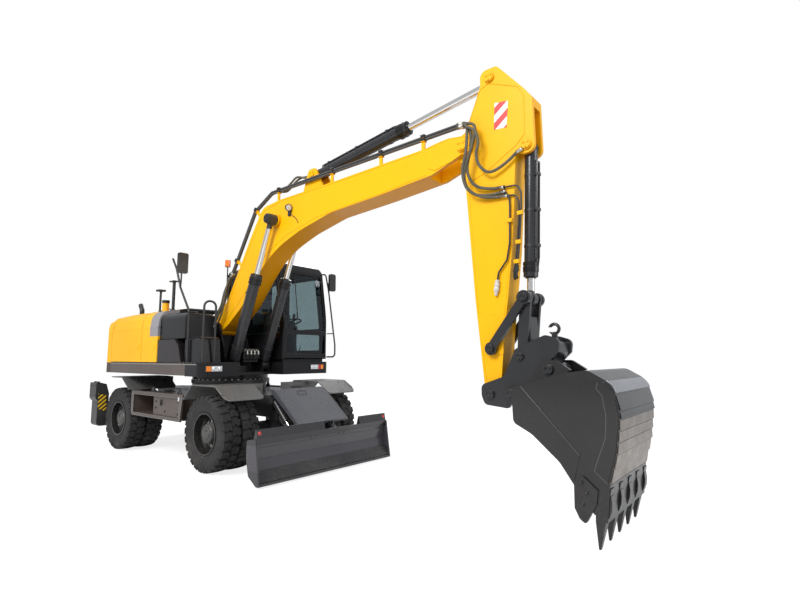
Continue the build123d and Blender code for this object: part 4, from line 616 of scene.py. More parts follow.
# %% Finishes of the solids
FINISHES = (
    (yellow_paint, "boom arm side_door_left side_door_right hood_lid"),
    (hood_paint, "hood pump_door_right"),
    (tail_paint, "counterweight"),
    (blade_paint, "blade"),
    (charcoal_paint, "quick_coupler rocker_links bucket_link boom_cylinder_tubes arm_cylinder_tube "
                     "bucket_cylinder_tube blade_cylinder_tubes"),
    (bucket_paint, "bucket"),
    (cover_paint, "blade_cover"),
    (chassis_paint, "chassis_frame stabiliser_left stabiliser_right tie_rod knuckle_left knuckle_right "
                    "axles blade_arms engine engine_bay"),
    (brown_grey_paint, "side_boxes side_skirts"),
    (cabinet_paint, "cabinet_door"),
    (checker_paint, "fenders"),
    (cab_black, "upper_frame cab cab_door fuel_tank right_cabinet step_unit"),
    (satin_black, "handrails mirrors seat_base cab_controls"),
    (fitting_paint, "hood_fittings"),
    (seat_cloth, "seat_cushion seat_back"),
    (rim_black, "rim_front_left rim_front_right rim_rear_left rim_rear_right"),
    (tyre_rubber, "tyres_front_left tyres_front_right tyres_rear_left tyres_rear_right"),
    (boom_rod_finish, "boom_cylinder_rods"),
    (arm_rod_finish, "arm_cylinder_rod"),
    (bucket_rod_finish, "bucket_cylinder_rod"),
    (blade_rod_finish, "blade_cylinder_rods"),
    (cab_glazing, "cab_glass door_glass"),
    (beacon_finish, "beacon"),
)


def finish_node(name, material):
    data = NODES[name].data
    data.materials.clear()
    data.materials.append(material)


for material, names in FINISHES:
    for name in names.split():
        finish_node(name, material)
print("finished solids", sum(len(names.split()) for _, names in FINISHES))

# %% [markdown]
# ## Making and joining pieces
# A piece is drawn in a bmesh, straight in the frame's own coordinates, so its object stays at the
# origin. These helpers draw the few solids that machines are welded from: prisms cut from plate, bars,
# turned rings and hexagon bolts.


def xz(points):
    """Points of the drawing's side view as (x, z) in the frame."""
    return [(at(x, 0, 0).x, z) for x, z in points]


def side_path(points, y):
    """Points of the side view as a path in the plane at y."""
    return [at(x, y, z) for x, z in points]


def panel(x0, x1, z0, z1):
    """A rectangle of the side view."""
    return xz(((x0, z0), (x1, z0), (x1, z1), (x0, z1)))


def prism(bm, outline, low, high, axis="y", skin=0):
    """A plate with an outline in (x, z), (y, z) or (x, y), from low to high along the third axis."""
    turn = {"y": lambda u, v, w: (u, w, v), "x": lambda u, v, w: (w, u, v), "z": lambda u, v,
            w: (u, v, w)}[axis]
    floor = [bm.verts.new(turn(u, v, low)) for u, v in outline]
    lid = [bm.verts.new(turn(u, v, high)) for u, v in outline]
    made = [bm.faces.new(floor), bm.faces.new(list(reversed(lid)))]
    for index in range(len(outline)):
        after = (index + 1) % len(outline)
        made.append(bm.faces.new((floor[after], floor[index], lid[index], lid[after])))
    for face in made:
        face.material_index = skin


def brick(bm, low, high, skin=0):
    """A cuboid between two corners."""
    outline = [(low[0], low[1]), (high[0], low[1]), (high[0], high[1]), (low[0], high[1])]
    prism(bm, outline, low[2], high[2], "z", skin)


def axes_of(direction):
    """Two directions square to a given one and to each other."""
    along_ = Vector(direction).normalized()
    helper = Vector((0, 0, 1)) if abs(along_.z) < 0.9 else Vector((1, 0, 0))
    first = along_.cross(helper).normalized()
    return along_, first, along_.cross(first).normalized()


def circle_of(bm, middle, first, second, radius, sides):
    """A ring of vertices about a middle; a single one where the radius is nothing."""
    if radius <= 0.0:
        return [bm.verts.new(middle)]
    angles = (2 * math.pi * index / sides for index in range(sides))
    return [bm.verts.new(middle + (first * math.cos(angle) + second * math.sin(angle)) * radius)
            for angle in angles]


def turned(bm, centre, direction, rows, sides, skin=0):
    """A turned part: rows of (distance along the axis, radius), closed at both ends."""
    along_, first, second = axes_of(direction)
    rings = [circle_of(bm, Vector(centre) + along_ * distance, first, second, radius, sides)
             for distance, radius in rows]
    made = []
    for one, two in zip(rings, rings[1:]):
        for index in range(sides):
            after = (index + 1) % sides
            if len(two) == 1:
                corners = (one[index], two[0], one[after])
            else:
                corners = (one[index], two[index], two[after], one[after])
            made.append(bm.faces.new(corners))
    made += [bm.faces.new(ring_) for ring_ in (rings[0], rings[-1]) if len(ring_) > 1]
    for face in made:
        face.material_index = skin


def bolt(bm, centre, direction, size, skin=0):
    """A hexagon bolt head on a washer; size is the radius of the head."""
    turned(bm, centre, direction, ((-0.004, size * 1.5), (size * 0.25, size * 1.5)), 16, skin)
    turned(bm, centre, direction, ((size * 0.2, size), (size * 0.85, size), (size, size * 0.82)), 6, skin)


def mesh_of(bm, name, *materials):
    """Turn a drawing into a mesh with its finishes, shaded smooth."""
    bmesh.ops.recalc_face_normals(bm, faces=bm.faces[:])
    data = bpy.data.meshes.new(name)
    bm.to_mesh(data)
    bm.free()
    for material in materials:
        data.materials.append(material)
    data.polygons.foreach_set("use_smooth", [True] * len(data.polygons))
    return data


def object_of(name, data):
    piece = bpy.data.objects.new(name, data)
    scene.collection.objects.link(piece)
    return piece


def piece_from(name, bm, materials, body, bevel=0.0, smooth=35.0, replaced=(), segments=2):
    """Turn a drawing into a piece that rides on a body."""
    materials = materials if isinstance(materials, tuple) else (materials,)
    data = mesh_of(bm, name, *materials)
    piece = object_of(name, data)
    data.set_sharp_from_angle(angle=math.radians(smooth))
    if bevel:
        edge = piece.modifiers.new("edge", "BEVEL")
        edge.width = bevel
        edge.segments = segments
        edge.limit_method = "ANGLE"
        edge.angle_limit = math.radians(38)
    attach(piece, body)
    if replaced:
        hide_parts(*replaced)


print("drawing helpers ready")

# %% [markdown]
# ## Rules for what repeats
# Tread blocks, bolts, treads and ribs repeat by a rule, so Geometry Nodes place them: one tree turns
# copies about an axis, another sets them out along a line. A third sweeps a round pipe along a path
# and rounds the bends. Each tree is built once, with its sizes as named inputs.

# %% Repeating trees


def start_tree(name, inputs):
    """An empty geometry tree with a geometry input, the named inputs and a geometry output."""
    tree = bpy.data.node_groups.new(name, "GeometryNodeTree")
    tree.interface.new_socket("Geometry", in_out="INPUT", socket_type="NodeSocketGeometry")
    for label, kind in inputs:
        tree.interface.new_socket(label, in_out="INPUT", socket_type=kind)
    tree.interface.new_socket("Geometry", in_out="OUTPUT", socket_type="NodeSocketGeometry")
    return tree, node(tree, "NodeGroupInput"), node(tree, "NodeGroupOutput")


def end_tree(tree, geometry, entry, exit_):
    """Realize the instances and set the finish."""
    real = node(tree, "GeometryNodeRealizeInstances")
    skin = node(tree, "GeometryNodeSetMaterial")
    link(tree, geometry, real.inputs[0])
    link(tree, real.outputs[0], skin.inputs["Geometry"])
    link(tree, entry.outputs["Material"], skin.inputs["Material"])
    link(tree, skin.outputs[0], exit_.inputs[0])


def make_ring_tree():
    """Copies of one piece turned about the Y axis through the origin."""
    tree, entry, exit_ = start_tree("copies_round_axis", [
        ("Count", "NodeSocketInt"), ("Material", "NodeSocketMaterial")])
    given = entry.outputs
    dots = feed(tree, node(tree, "GeometryNodeMeshLine"), {"Count": given["Count"],
                                                           "Offset": (0.0, 0.0, 0.0)})
    share = maths(tree, "DIVIDE", node(tree, "GeometryNodeInputIndex").outputs[0], given["Count"])
    turn = feed(tree, node(tree, "ShaderNodeCombineXYZ"), {"Y": maths(tree, "MULTIPLY", share, 2 * math.pi)})
    copies = feed(tree, node(tree, "GeometryNodeInstanceOnPoints"), {
        "Points": dots.outputs[0], "Instance": given["Geometry"], "Rotation": turn.outputs[0]})
    end_tree(tree, copies.outputs[0], entry, exit_)
    return tree


def make_row_tree():
    """Copies of one piece set out along a line from where it stands."""
    tree, entry, exit_ = start_tree("copies_in_row", [
        ("Count", "NodeSocketInt"), ("Step", "NodeSocketVector"), ("Material", "NodeSocketMaterial")])
    given = entry.outputs
    dots = feed(tree, node(tree, "GeometryNodeMeshLine"), {"Count": given["Count"], "Offset": given["Step"]})
    copies = feed(tree, node(tree, "GeometryNodeInstanceOnPoints"), {
        "Points": dots.outputs[0], "Instance": given["Geometry"]})
    end_tree(tree, copies.outputs[0], entry, exit_)
    return tree


def make_pipe_tree():
    """A round pipe swept along each path of edges, its corners rounded to a bend radius."""
    tree, entry, exit_ = start_tree("pipe_on_path", [
        ("Radius", "NodeSocketFloat"), ("Bend", "NodeSocketFloat"), ("Sides", "NodeSocketInt"),
        ("Soft", "NodeSocketBool"), ("Material", "NodeSocketMaterial")])
    given = entry.outputs
    path = feed(tree, node(tree, "GeometryNodeMeshToCurve"), {"Mesh": given["Geometry"]}).outputs[0]
    bends = feed(tree, node(tree, "GeometryNodeFilletCurve", mode="POLY"), {
        "Count": 5, "Limit Radius": True, "Curve": path, "Radius": given["Bend"]})
    free = feed(tree, node(tree, "GeometryNodeCurveSplineType", spline_type="CATMULL_ROM"), {"Curve": path})
    fine = feed(tree, node(tree, "GeometryNodeSetSplineResolution"),
                {"Resolution": 8, "Geometry": free.outputs[0]})
    pick = feed(tree, node(tree, "GeometryNodeSwitch", input_type="GEOMETRY"), {
        "Switch": given["Soft"], "False": bends.outputs[0], "True": fine.outputs[0]})
    circle = feed(tree, node(tree, "GeometryNodeCurvePrimitiveCircle"), {
        "Resolution": given["Sides"], "Radius": given["Radius"]})
    swept = feed(tree, node(tree, "GeometryNodeCurveToMesh"), {
        "Fill Caps": True, "Curve": pick.outputs[0], "Profile Curve": circle.outputs[0]})
    end_tree(tree, swept.outputs[0], entry, exit_)
    return tree


RING_TREE = make_ring_tree()
ROW_TREE = make_row_tree()
PIPE_TREE = make_pipe_tree()


def bake_tree(bm, tree, material, **inputs):
    """Run a tree on a drawing and give back the plain mesh."""
    data = bpy.data.meshes.new("draft")
    bmesh.ops.recalc_face_normals(bm, faces=bm.faces[:])
    bm.to_mesh(data)
    bm.free()
    draft = bpy.data.objects.new("draft", data)
    scene.collection.objects.link(draft)
    run = draft.modifiers.new("rule", "NODES")
    run.node_group = tree
    inputs["Material"] = material
    for item in tree.interface.items_tree:
        if item.in_out == "INPUT" and item.name in inputs:
            run[item.identifier] = inputs[item.name]
    bpy.context.view_layer.update()
    whole = draft.evaluated_get(bpy.context.evaluated_depsgraph_get())
    baked = bpy.data.meshes.new_from_object(whole)
    bpy.data.objects.remove(draft)
    bpy.data.meshes.remove(data)
    return baked


def add_mesh(bm, data, move=(0, 0, 0), skin=0):
    """Add a baked mesh to a drawing, moved, and drop it."""
    before = len(bm.verts)
    faces_before = len(bm.faces)
    bm.from_mesh(data)
    bm.verts.ensure_lookup_table()
    bm.faces.ensure_lookup_table()
    for vertex in bm.verts[before:]:
        vertex.co += Vector(move)
    for face in bm.faces[faces_before:]:
        face.material_index = skin
    bpy.data.meshes.remove(data)


def pipes(bm, paths, radius, bend=0.06, sides=10, soft=False, skin=0):
    """Add pipes along open paths to a drawing."""
    wires = bmesh.new()
    for points in paths:
        corners = [wires.verts.new(point) for point in points]
        for one, two in zip(corners, corners[1:]):
            wires.edges.new((one, two))
    add_mesh(bm, bake_tree(wires, PIPE_TREE, hose_rubber, Radius=radius, Bend=bend, Sides=sides, Soft=soft),
             skin=skin)


print("trees", RING_TREE.name, ROW_TREE.name, PIPE_TREE.name)

# %% [markdown]
# ## Tyres
# Twin tyres with a traction tread: on each side a row of heavy blocks, their edges bent in a zigzag,
# the two rows half a pitch apart. The casing is turned from a section. One block is drawn flat, wrapped
# on the casing and repeated round the axle by the ring tree.

# %% Tyre sizes
TYRE_RADIUS = 0.532
CASING_RADIUS = 0.511
BLOCKS = 26
AXLES = {"front": 1.289, "rear": -1.548}
TYRE_Y = (1.110, 0.808)
# Casing section: distance from the tyre's middle, radius
CASING = (
    (-0.104, 0.290), (-0.112, 0.296), (-0.1165, 0.312), (-0.1200, 0.316), (-0.1215, 0.330), (-0.1255, 0.360),
    (-0.1310, 0.395), (-0.1345, 0.430), (-0.1345, 0.452), (-0.1360, 0.455), (-0.1360, 0.462),
    (-0.1335, 0.465),
    (-0.1290, 0.486), (-0.1180, 0.503), (-0.0900, 0.509), (-0.0300, CASING_RADIUS),
)
# One tread block seen from outside: along the tread, across it
BLOCK = ((-0.044, 0.129), (0.042, 0.129), (0.052, 0.088), (0.028, 0.050), (0.054, 0.004), (-0.036, 0.008),
         (-0.064, 0.050), (-0.036, 0.088))

print("tyre radius", TYRE_RADIUS, "with", BLOCKS, "blocks a side")

# %% [markdown]
# ## Casings and tread
# Each ring of the casing's section is joined to the next, and the ring tree repeats the block. A wheel
# carries the same tyre twice, side by side.

# %% Tread blocks and casings


def wrap(along_tread, across, radius):
    """A point on the tyre from its place on the flat tread."""
    angle = along_tread / TYRE_RADIUS
    return (radius * math.sin(angle), across, radius * math.cos(angle))


def tread_radius(across, depth):
    """The tread is a little crowned; depth is below its surface."""
    return TYRE_RADIUS - 0.009 * (across / 0.129) ** 2 - depth


def tread_block(bm, side, shift):
    """One block: a foot in the casing, upright flanks, a bevelled top and a shoulder down the sidewall."""
    middle_u = sum(u for u, _ in BLOCK) / len(BLOCK)
    middle_v = sum(v for _, v in BLOCK) / len(BLOCK)
    levels = []
    for shrink, depth in ((1.0, 0.030), (0.985, 0.004), (0.93, 0.0)):
        level = []
        for u, v in BLOCK:
            u_in = middle_u + (u - middle_u) * shrink
            v_in = middle_v + (v - middle_v) * shrink
            level.append(bm.verts.new(wrap(u_in + shift, v_in * side, tread_radius(v_in, depth))))
        levels.append(level)
    count = len(BLOCK)
    for low, high in zip(levels, levels[1:]):
        for index in range(count):
            after = (index + 1) % count
            bm.faces.new((low[index], low[after], high[after], high[index]))
    bm.faces.new(levels[-1])
    bm.faces.new(list(reversed(levels[0])))
    shoulder = []
    for u, v, radius in ((-0.043, 0.126, 0.5225), (0.041, 0.126, 0.5225), (0.036, 0.1365, 0.496),
                         (-0.038, 0.1365, 0.496), (0.031, 0.1350, 0.476), (-0.033, 0.1350, 0.476)):
        shoulder.append(bm.verts.new(wrap(u + shift, v * side, radius)))
    inner = []
    for u, v, radius in ((-0.043, 0.110, 0.5), (0.041, 0.110, 0.5), (0.031, 0.125, 0.476),
                         (-0.033, 0.125, 0.476)):
        inner.append(bm.verts.new(wrap(u + shift, v * side, radius)))
    a, b, c, d, e, f = shoulder
    g, h, i, j = inner
    for corners in ((a, b, c, d), (d, c, e, f), (g, j, i, h), (a, g, h, b), (b, h, i, e, c), (f, e, i, j),
                    (a, d, f, j, g)):
        bm.faces.new(corners)


def tyre_mesh():
    """One tyre about the origin: casing and tread."""
    tread = bmesh.new()
    pitch = 2 * math.pi * TYRE_RADIUS / BLOCKS
    tread_block(tread, 1, 0.0)
    tread_block(tread, -1, pitch / 2)
    blocks = bake_tree(tread, RING_TREE, tyre_rubber, Count=BLOCKS)
    bm = bmesh.new()
    section = list(CASING) + [(-y, radius) for y, radius in reversed(CASING)] + [(0.098, 0.2905),
        (-0.098, 0.2905)]
    sides = 96
    rings = [[bm.verts.new((radius * math.sin(2 * math.pi * k / sides), y,
                            radius * math.cos(2 * math.pi * k / sides)))
              for k in range(sides)] for y, radius in section]
    for one, two in zip(rings, rings[1:] + rings[:1]):
        for k in range(sides):
            after = (k + 1) % sides
            bm.faces.new((one[k], one[after], two[after], two[k]))
    add_mesh(bm, blocks)
    bmesh.ops.recalc_face_normals(bm, faces=bm.faces[:])
    data = bpy.data.meshes.new("tyre")
    bm.to_mesh(data)
    bm.free()
    return data


tyre = tyre_mesh()
WHEELS = tuple((f"{end}_{hand}", AXLES[end], side) for end in AXLES for hand,
               side in (("left", 1), ("right", -1)))
for place, axle, side in WHEELS:
    bm = bmesh.new()
    for y in TYRE_Y:
        add_mesh(bm, tyre.copy(), at(axle, side * y, TYRE_RADIUS))
    piece_from(f"tread_{place}", bm, tyre_rubber, f"wheel_{place}", smooth=28.0, replaced=(f"tyres_{place}",))
print("tyre triangles", sum(len(face.vertices) - 2 for face in tyre.polygons))

# %% [markdown]
# ## Hubs
# A planetary hub stands out through each pressed rim. Its cover is a cast cap with a ring of bolts, and
# ten nuts hold the rim to the hub flange behind it. A split ring locks the outer tyre bead.

# %% Hub covers, collars and nuts


def bolt_ring(bm, place, direction, radius, count, size):
    """Bolts on a circle about a Y axis."""
    one = bmesh.new()
    bolt(one, (0.0, 0.0, radius), direction, size)
    add_mesh(bm, bake_tree(one, RING_TREE, bare_steel, Count=count), place)


HUB_FACE = 1.192
for place, axle, side in WHEELS:
    bm = bmesh.new()
    out = (0, side, 0)
    face = at(axle, side * HUB_FACE, TYRE_RADIUS)
    turned(bm, face, out, ((-0.102, 0.1405), (-0.020, 0.1405), (-0.004, 0.1300), (0.004, 0.1220),
                           (0.004, 0.0780), (0.012, 0.0720), (0.012, 0.0)), 48)
    turned(bm, at(axle, side * 1.135, TYRE_RADIUS), out, ((-0.032, 0.151), (-0.020, 0.151), (-0.016, 0.1406)),
           48)
    bolt_ring(bm, face + Vector((0, side * 0.003, 0)), out, 0.100, 12, 0.0085)
    turned(bm, face + Vector((0, side * 0.012, 0.045)), out, ((0, 0.014), (0.010, 0.014), (0.012, 0.010)), 8)
    piece_from(f"hub_cover_{place}", bm, hub_paint, f"wheel_{place}", bevel=0.0015)
    bm = bmesh.new()
    bolt_ring(bm, at(axle, side * 1.105, TYRE_RADIUS), out, 0.168, 10, 0.017)
    piece_from(f"wheel_nuts_{place}", bm, zinc, f"wheel_{place}")
print("hubs dressed")

# %% [markdown]
# ## Lines on the boom
# Four steel pipes run along the top of the boom at its right edge, held off the plate by brackets. At
# the boom's foot and tip rubber hoses take over, because the joints there move. The pipes are swept
# along their path by the pipe tree with tight bends; the hoses follow a free curve.

# %% Boom pipes, brackets and hoses
PIPE_Y = (-0.364, -0.340)
PIPE_PATHS = (((0.500, 2.985), (1.080, 3.930), (1.500, 4.150), (4.930, 4.190)),
              ((0.473, 3.002), (1.058, 3.954), (1.495, 4.182), (4.930, 4.222)))
# Clamps: x, z on the lower pipe, direction of the pipes, drop to the boom
CLAMPS = ((0.620, 3.180, (0.524, 0.852), 0.170), (1.115, 3.948, (0.707, 0.707), 0.160),
          (1.680, 4.152, (1.0, 0.012), 0.160), (2.870, 4.166, (1.0, 0.012), 0.160),
          (3.770, 4.176, (1.0, 0.012), 0.150), (4.440, 4.184, (1.0, 0.012), 0.140))


def slanted(bm, x, z, direction, along_, up, y0, y1, skin=0):
    """A block turned to a direction in the XZ plane: spans (low, high) along it and square to it."""
    dx, dz = direction
    corners = ((along_[0], up[0]), (along_[1], up[0]), (along_[1], up[1]), (along_[0], up[1]))
    prism(bm, xz([(x + dx * a - dz * b, z + dz * a + dx * b) for a, b in corners]), y0, y1, skin=skin)


UNION = ((-0.02, 0.0125), (-0.02, 0.017), (0.0, 0.017), (0.004, 0.015), (0.030, 0.015))
bm = bmesh.new()
pipes(bm, [side_path(path, y) for path in PIPE_PATHS for y in PIPE_Y], 0.0122, bend=0.15, sides=12)
for y in PIPE_Y:
    for path in PIPE_PATHS:
        for (x, z), forward in ((path[-1], (1, 0, 0)), (path[0], (-0.523, 0, -0.853))):
            turned(bm, at(x, y, z), forward, UNION, 6)
piece_from("boom_pipes", bm, pipe_paint, "boom")
bm = bmesh.new()
for x, z, direction, drop in CLAMPS:
    slanted(bm, x, z, direction, (-0.024, 0.024), (-drop, -0.018), -0.3715, -0.3485)
    slanted(bm, x, z, direction, (-0.030, 0.030), (-0.030, -0.0215), -0.386, -0.328)
piece_from("boom_pipe_brackets", bm, yellow_paint, "boom", bevel=0.002)
bm = bmesh.new()
for x, z, direction, drop in CLAMPS:
    slanted(bm, x, z, direction, (-0.0275, 0.0275), (-0.0212, 0.0150), -0.3855, -0.3285)
    slanted(bm, x, z, direction, (-0.0275, 0.0275), (0.0170, 0.0550), -0.3855, -0.3285)
    slanted(bm, x, z, direction, (-0.029, 0.029), (0.0552, 0.060), -0.387, -0.327, 1)
    dx, dz = direction
    bolt(bm, at(x - dz * 0.060, -0.352, z + dx * 0.060), (-dz, 0, dx), 0.008, 1)
piece_from("boom_pipe_clamps", bm, (hose_rubber, zinc), "boom", bevel=0.002)


def hose(name, paths, radius):
    """Hoses that bend where two bodies meet, with a crimped steel ferrule at each end."""
    bm = bmesh.new()
    pipes(bm, [[at(*point) for point in path] for path in paths], radius, sides=12, soft=True)
    ferrule = ((-0.02, radius * 0.9), (-0.02, radius * 1.3), (0.0, radius * 1.3), (0.002, radius * 1.18),
               (0.05, radius * 1.18))
    for path in paths:
        for one, two in ((path[0], path[1]), (path[-1], path[-2])):
            turned(bm, at(*one), at(*two) - at(*one), ferrule, 12, 1)
    piece = object_of(name, mesh_of(bm, name, hose_sleeve, zinc))
    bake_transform(piece)


hose("boom_foot_hoses", [
    ((0.174, -0.470, 2.100), (0.300, -0.470, 2.200), (0.400, -0.470, 2.380), (0.440, -0.460, 2.640),
     (0.455, -0.420, 2.840), (0.492, -0.364, 2.972)),
    ((0.130, -0.480, 2.100), (0.255, -0.480, 2.240), (0.350, -0.475, 2.420), (0.400, -0.440, 2.700),
     (0.440, -0.380, 2.860), (0.492, -0.340, 2.972)),
    ((-0.080, -0.340, 2.300), (0.030, -0.340, 2.360), (0.180, -0.350, 2.510), (0.320, -0.360, 2.760),
     (0.465, -0.364, 2.988)),
    ((-0.080, -0.300, 2.300), (0.030, -0.300, 2.350), (0.180, -0.310, 2.490), (0.320, -0.330, 2.740),
     (0.465, -0.340, 2.988)),
], 0.017)
hose("boom_tip_hoses", [
    ((4.955, -0.364, 4.222), (5.030, -0.385, 4.200), (5.074, -0.430, 4.133), (5.189, -0.450, 4.032),
     (5.226, -0.450, 3.894), (5.194, -0.440, 3.780), (5.214, -0.420, 3.655), (5.302, -0.400, 3.560),
     (5.407, -0.380, 3.571), (5.532, -0.370, 3.634), (5.624, -0.360, 3.703), (5.660, -0.345, 3.726)),
    ((4.955, -0.364, 4.190), (5.075, -0.400, 4.177), (5.184, -0.440, 4.085), (5.156, -0.460, 3.879),
     (5.064, -0.460, 3.649), (5.048, -0.440, 3.500), (5.104, -0.420, 3.382), (5.234, -0.380, 3.302),
     (5.385, -0.355, 3.276), (5.480, -0.345, 3.270)),
    ((4.955, -0.340, 4.222), (5.060, -0.380, 4.150), (5.119, -0.420, 4.032), (5.127, -0.440, 3.862),
     (5.080, -0.440, 3.651), (5.107, -0.420, 3.508), (5.186, -0.380, 3.422), (5.323, -0.355, 3.382),
     (5.440, -0.345, 3.371)),
    ((4.955, -0.340, 4.190), (5.040, -0.370, 4.150), (5.100, -0.470, 4.000), (5.090, -0.485, 3.800),
     (5.040, -0.475, 3.620), (5.060, -0.440, 3.440), (5.150, -0.390, 3.345), (5.300, -0.360, 3.315),
     (5.460, -0.345, 3.320)),
], 0.0165)
hose("arm_cylinder_hose", [
    ((1.660, -0.318, 4.195), (1.700, -0.260, 4.215), (1.770, -0.210, 4.300), (1.900, -0.200, 4.372),
     (2.067, -0.200, 4.330), (2.200, -0.200, 4.292), (2.290, -0.200, 4.340)),
    ((1.640, -0.318, 4.165), (1.690, -0.200, 4.200), (1.800, -0.160, 4.310), (1.950, -0.165, 4.355),
     (2.120, -0.165, 4.345), (2.290, -0.160, 4.362)),
], 0.016)
print("boom lines", 2 * len(PIPE_Y), "pipes,", len(CLAMPS), "clamps, 10 hoses")

# %% [markdown]
# ## Lines on the arm
# Three steel pipes go down the arm's right side under small welded clamps. Two turn in towards the
# arm's end, and the third ends in a wrapped spare coupling. Every pipe ends in a hexagon union.

# %% Arm pipes
ARM_PIPES = (
    (-0.343, ((5.480, 3.270), (5.585, 3.262), (5.622, 3.180), (5.622, 3.050), (5.588, 2.719),
              (5.557, 2.480))),
    (-0.345, ((5.440, 3.371), (5.610, 3.360), (5.652, 3.275), (5.648, 3.124), (5.612, 2.719),
              (5.582, 2.490))),
    (-0.345, ((5.460, 3.320), (5.518, 3.260), (5.522, 3.150), (5.508, 2.760), (5.472, 2.588), (5.375, 2.470),
              (5.352, 2.360))),
)
bm = bmesh.new()
for y, path in ARM_PIPES:
    pipes(bm, [side_path(path, y)], 0.0095, bend=0.06, sides=12)
    line = side_path(path, y)
    turned(bm, line[-1], line[-1] - line[-2], ((-0.03, 0.016), (0.0, 0.016), (0.004, 0.019), (0.03, 0.019)),
           6)
    turned(bm, line[0], line[0] - line[1], ((-0.03, 0.019), (0.0, 0.019), (0.004, 0.016)), 6)
for x, z in ((5.555, 2.470), (5.580, 2.480)):
    pipes(bm, [[at(x, -0.344, z), at(x - 0.010, -0.344, z - 0.060), at(x - 0.016, -0.305, z - 0.085)]], 0.012,
          bend=0.03, sides=10)
piece_from("arm_pipes", bm, satin_black, "arm")
bm = bmesh.new()
for x, z, wide in ((5.516, 3.000, 0.030), (5.631, 3.060, 0.030), (5.604, 2.760, 0.028),
                   (5.578, 2.560, 0.028)):
    prism(bm, panel(x - wide, x + wide, z - 0.022, z + 0.022), -0.362, -0.318)
piece_from("arm_pipe_clamps", bm, yellow_paint, "arm", bevel=0.006)
bm = bmesh.new()
WRAP = ((-0.045, 0.014), (-0.030, 0.026), (-0.010, 0.022), (0.010, 0.031), (0.032, 0.025), (0.052, 0.032),
        (0.078, 0.026), (0.090, 0.018), (0.110, 0.020), (0.125, 0.011))
turned(bm, at(5.352, -0.344, 2.350), (-0.14, 0, -1), WRAP, 9)
piece_from("arm_pipe_wraps", bm, white_wrap, "arm", bevel=0.0015)
print("arm pipes", len(ARM_PIPES))

# %% [markdown]
# ## Pins, welds and plates on boom and arm
# Each pin is locked by a turned cap with three bolts. Seams are welded: round beads follow the seams
# and the edge of the boom's doubling plates. The striped plate by the bucket cylinder warns people behind.

# %% Pin caps, beads and plates
CAP_BOLTS = 3


def pin_cap(bm, x, z, y, side, radius):
    """A turned cap against a boss, with its bolts."""
    out = Vector((0, side, 0))
    centre = at(x, y, z)
    turned(bm, centre, out, ((-0.004, radius), (0.010, radius), (0.014, radius * 0.94),
                             (0.014, radius * 0.30), (0.010, radius * 0.26), (0.010, 0.0)), 40)
    for number in range(CAP_BOLTS):
        angle = 2 * math.pi * number / CAP_BOLTS + 0.5
        bolt(bm, centre + Vector((math.cos(angle), 0, math.sin(angle))) * radius * 0.64 + out * 0.014, out,
             0.010, 1)


PIN_CAPS = (
    ("boom", yellow_paint, ((4.985, 3.952, 0.197, 0.066), (2.393, 4.278, 0.118, 0.052))),
    ("arm", yellow_paint, ((5.311, 4.662, 0.138, 0.052), (5.714, 3.779, 0.138, 0.052))),
    ("upper", chassis_paint, ((0.146, 2.070, 0.250, 0.060),)),
    ("boom_cylinder_rods", satin_black, ((1.673, 3.683, 0.377, 0.058),)),
    ("rocker_links", charcoal_paint, ((5.278, 1.680, 0.199, 0.042), (5.652, 2.185, 0.199, 0.045))),
    ("bucket", charcoal_paint, ((5.263, 1.216, 0.197, 0.050), (5.599, 1.600, 0.197, 0.042),
                                (5.903, 1.477, 0.254, 0.050),
                (5.513, 1.235, 0.254, 0.050))),
)
for body, paint, caps in PIN_CAPS:
    bm = bmesh.new()
    for x, z, reach, radius in caps:
        for side in SIDES:
            pin_cap(bm, x, z, BOOM_Y + side * reach, side, radius)
    piece_from(f"pin_caps_{body}", bm, (paint, paint), body, bevel=0.0015)


def doubler(bm, points, y, side, thick=0.006):
    """A plate laid flat on a side wall."""
    prism(bm, xz(points), *sorted((y, y + side * thick)))


TIP_PLATE = ((4.478, 4.040), (4.520, 3.800), (4.615, 3.758), (4.845, 3.806), (4.985, 3.862), (5.060, 3.895),
             (5.072, 3.960), (5.060, 4.040), (4.950, 4.060), (4.800, 4.076), (4.640, 4.064))
BOOM_SEAMS = (
    ((0.30, 2.16), (0.62, 2.40), (0.98, 2.72), (1.42, 3.20), (1.90, 3.42), (2.60, 3.58), (3.77, 3.66),
     (4.48, 3.73)),
    ((0.33, 2.36), (0.72, 2.98), (1.00, 3.43), (1.33, 3.90), (1.80, 3.99), (3.00, 4.00), (4.40, 4.035)),
)
ARM_EDGES = (((5.03, 3.40), (5.10, 2.20), (5.19, 1.36)), ((5.54, 3.30), (5.50, 2.70), (5.435, 2.18),
                                                          (5.375, 1.76)))
ARM_SEAM = ((4.995, 4.110), (5.090, 4.330), (5.190, 4.560), (5.300, 4.600), (5.640, 4.440), (5.700, 4.320),
            (5.700, 3.900), (5.600, 3.800), (5.225, 3.587), (5.020, 3.521))
bm = bmesh.new()
for side in SIDES:
    wall = BOOM_Y + side * 0.175
    doubler(bm, TIP_PLATE, wall - side * 0.001, side)
    pipes(bm, [side_path(TIP_PLATE + TIP_PLATE[:1], wall + side * 0.003)], 0.005, bend=0.01, sides=6)
    pipes(bm, [side_path(seam, wall) for seam in BOOM_SEAMS], 0.0045, bend=0.10, sides=6)
piece_from("boom_plates", bm, yellow_paint, "boom", bevel=0.0015)
bm = bmesh.new()
for side in SIDES:
    wall = BOOM_Y + side * 0.120
    pipes(bm, [side_path(ARM_SEAM, wall)], 0.0055, bend=0.05, sides=6)
    pipes(bm, [side_path(seam, wall) for seam in ARM_EDGES], 0.0045, bend=0.05, sides=6)
    doubler(bm, ((5.180, 1.620), (5.395, 1.620), (5.400, 1.760), (5.430, 2.000), (5.110, 2.060),
                 (5.125, 1.860)), wall, side, 0.008)
piece_from("arm_plates", bm, yellow_paint, "arm", bevel=0.0015)
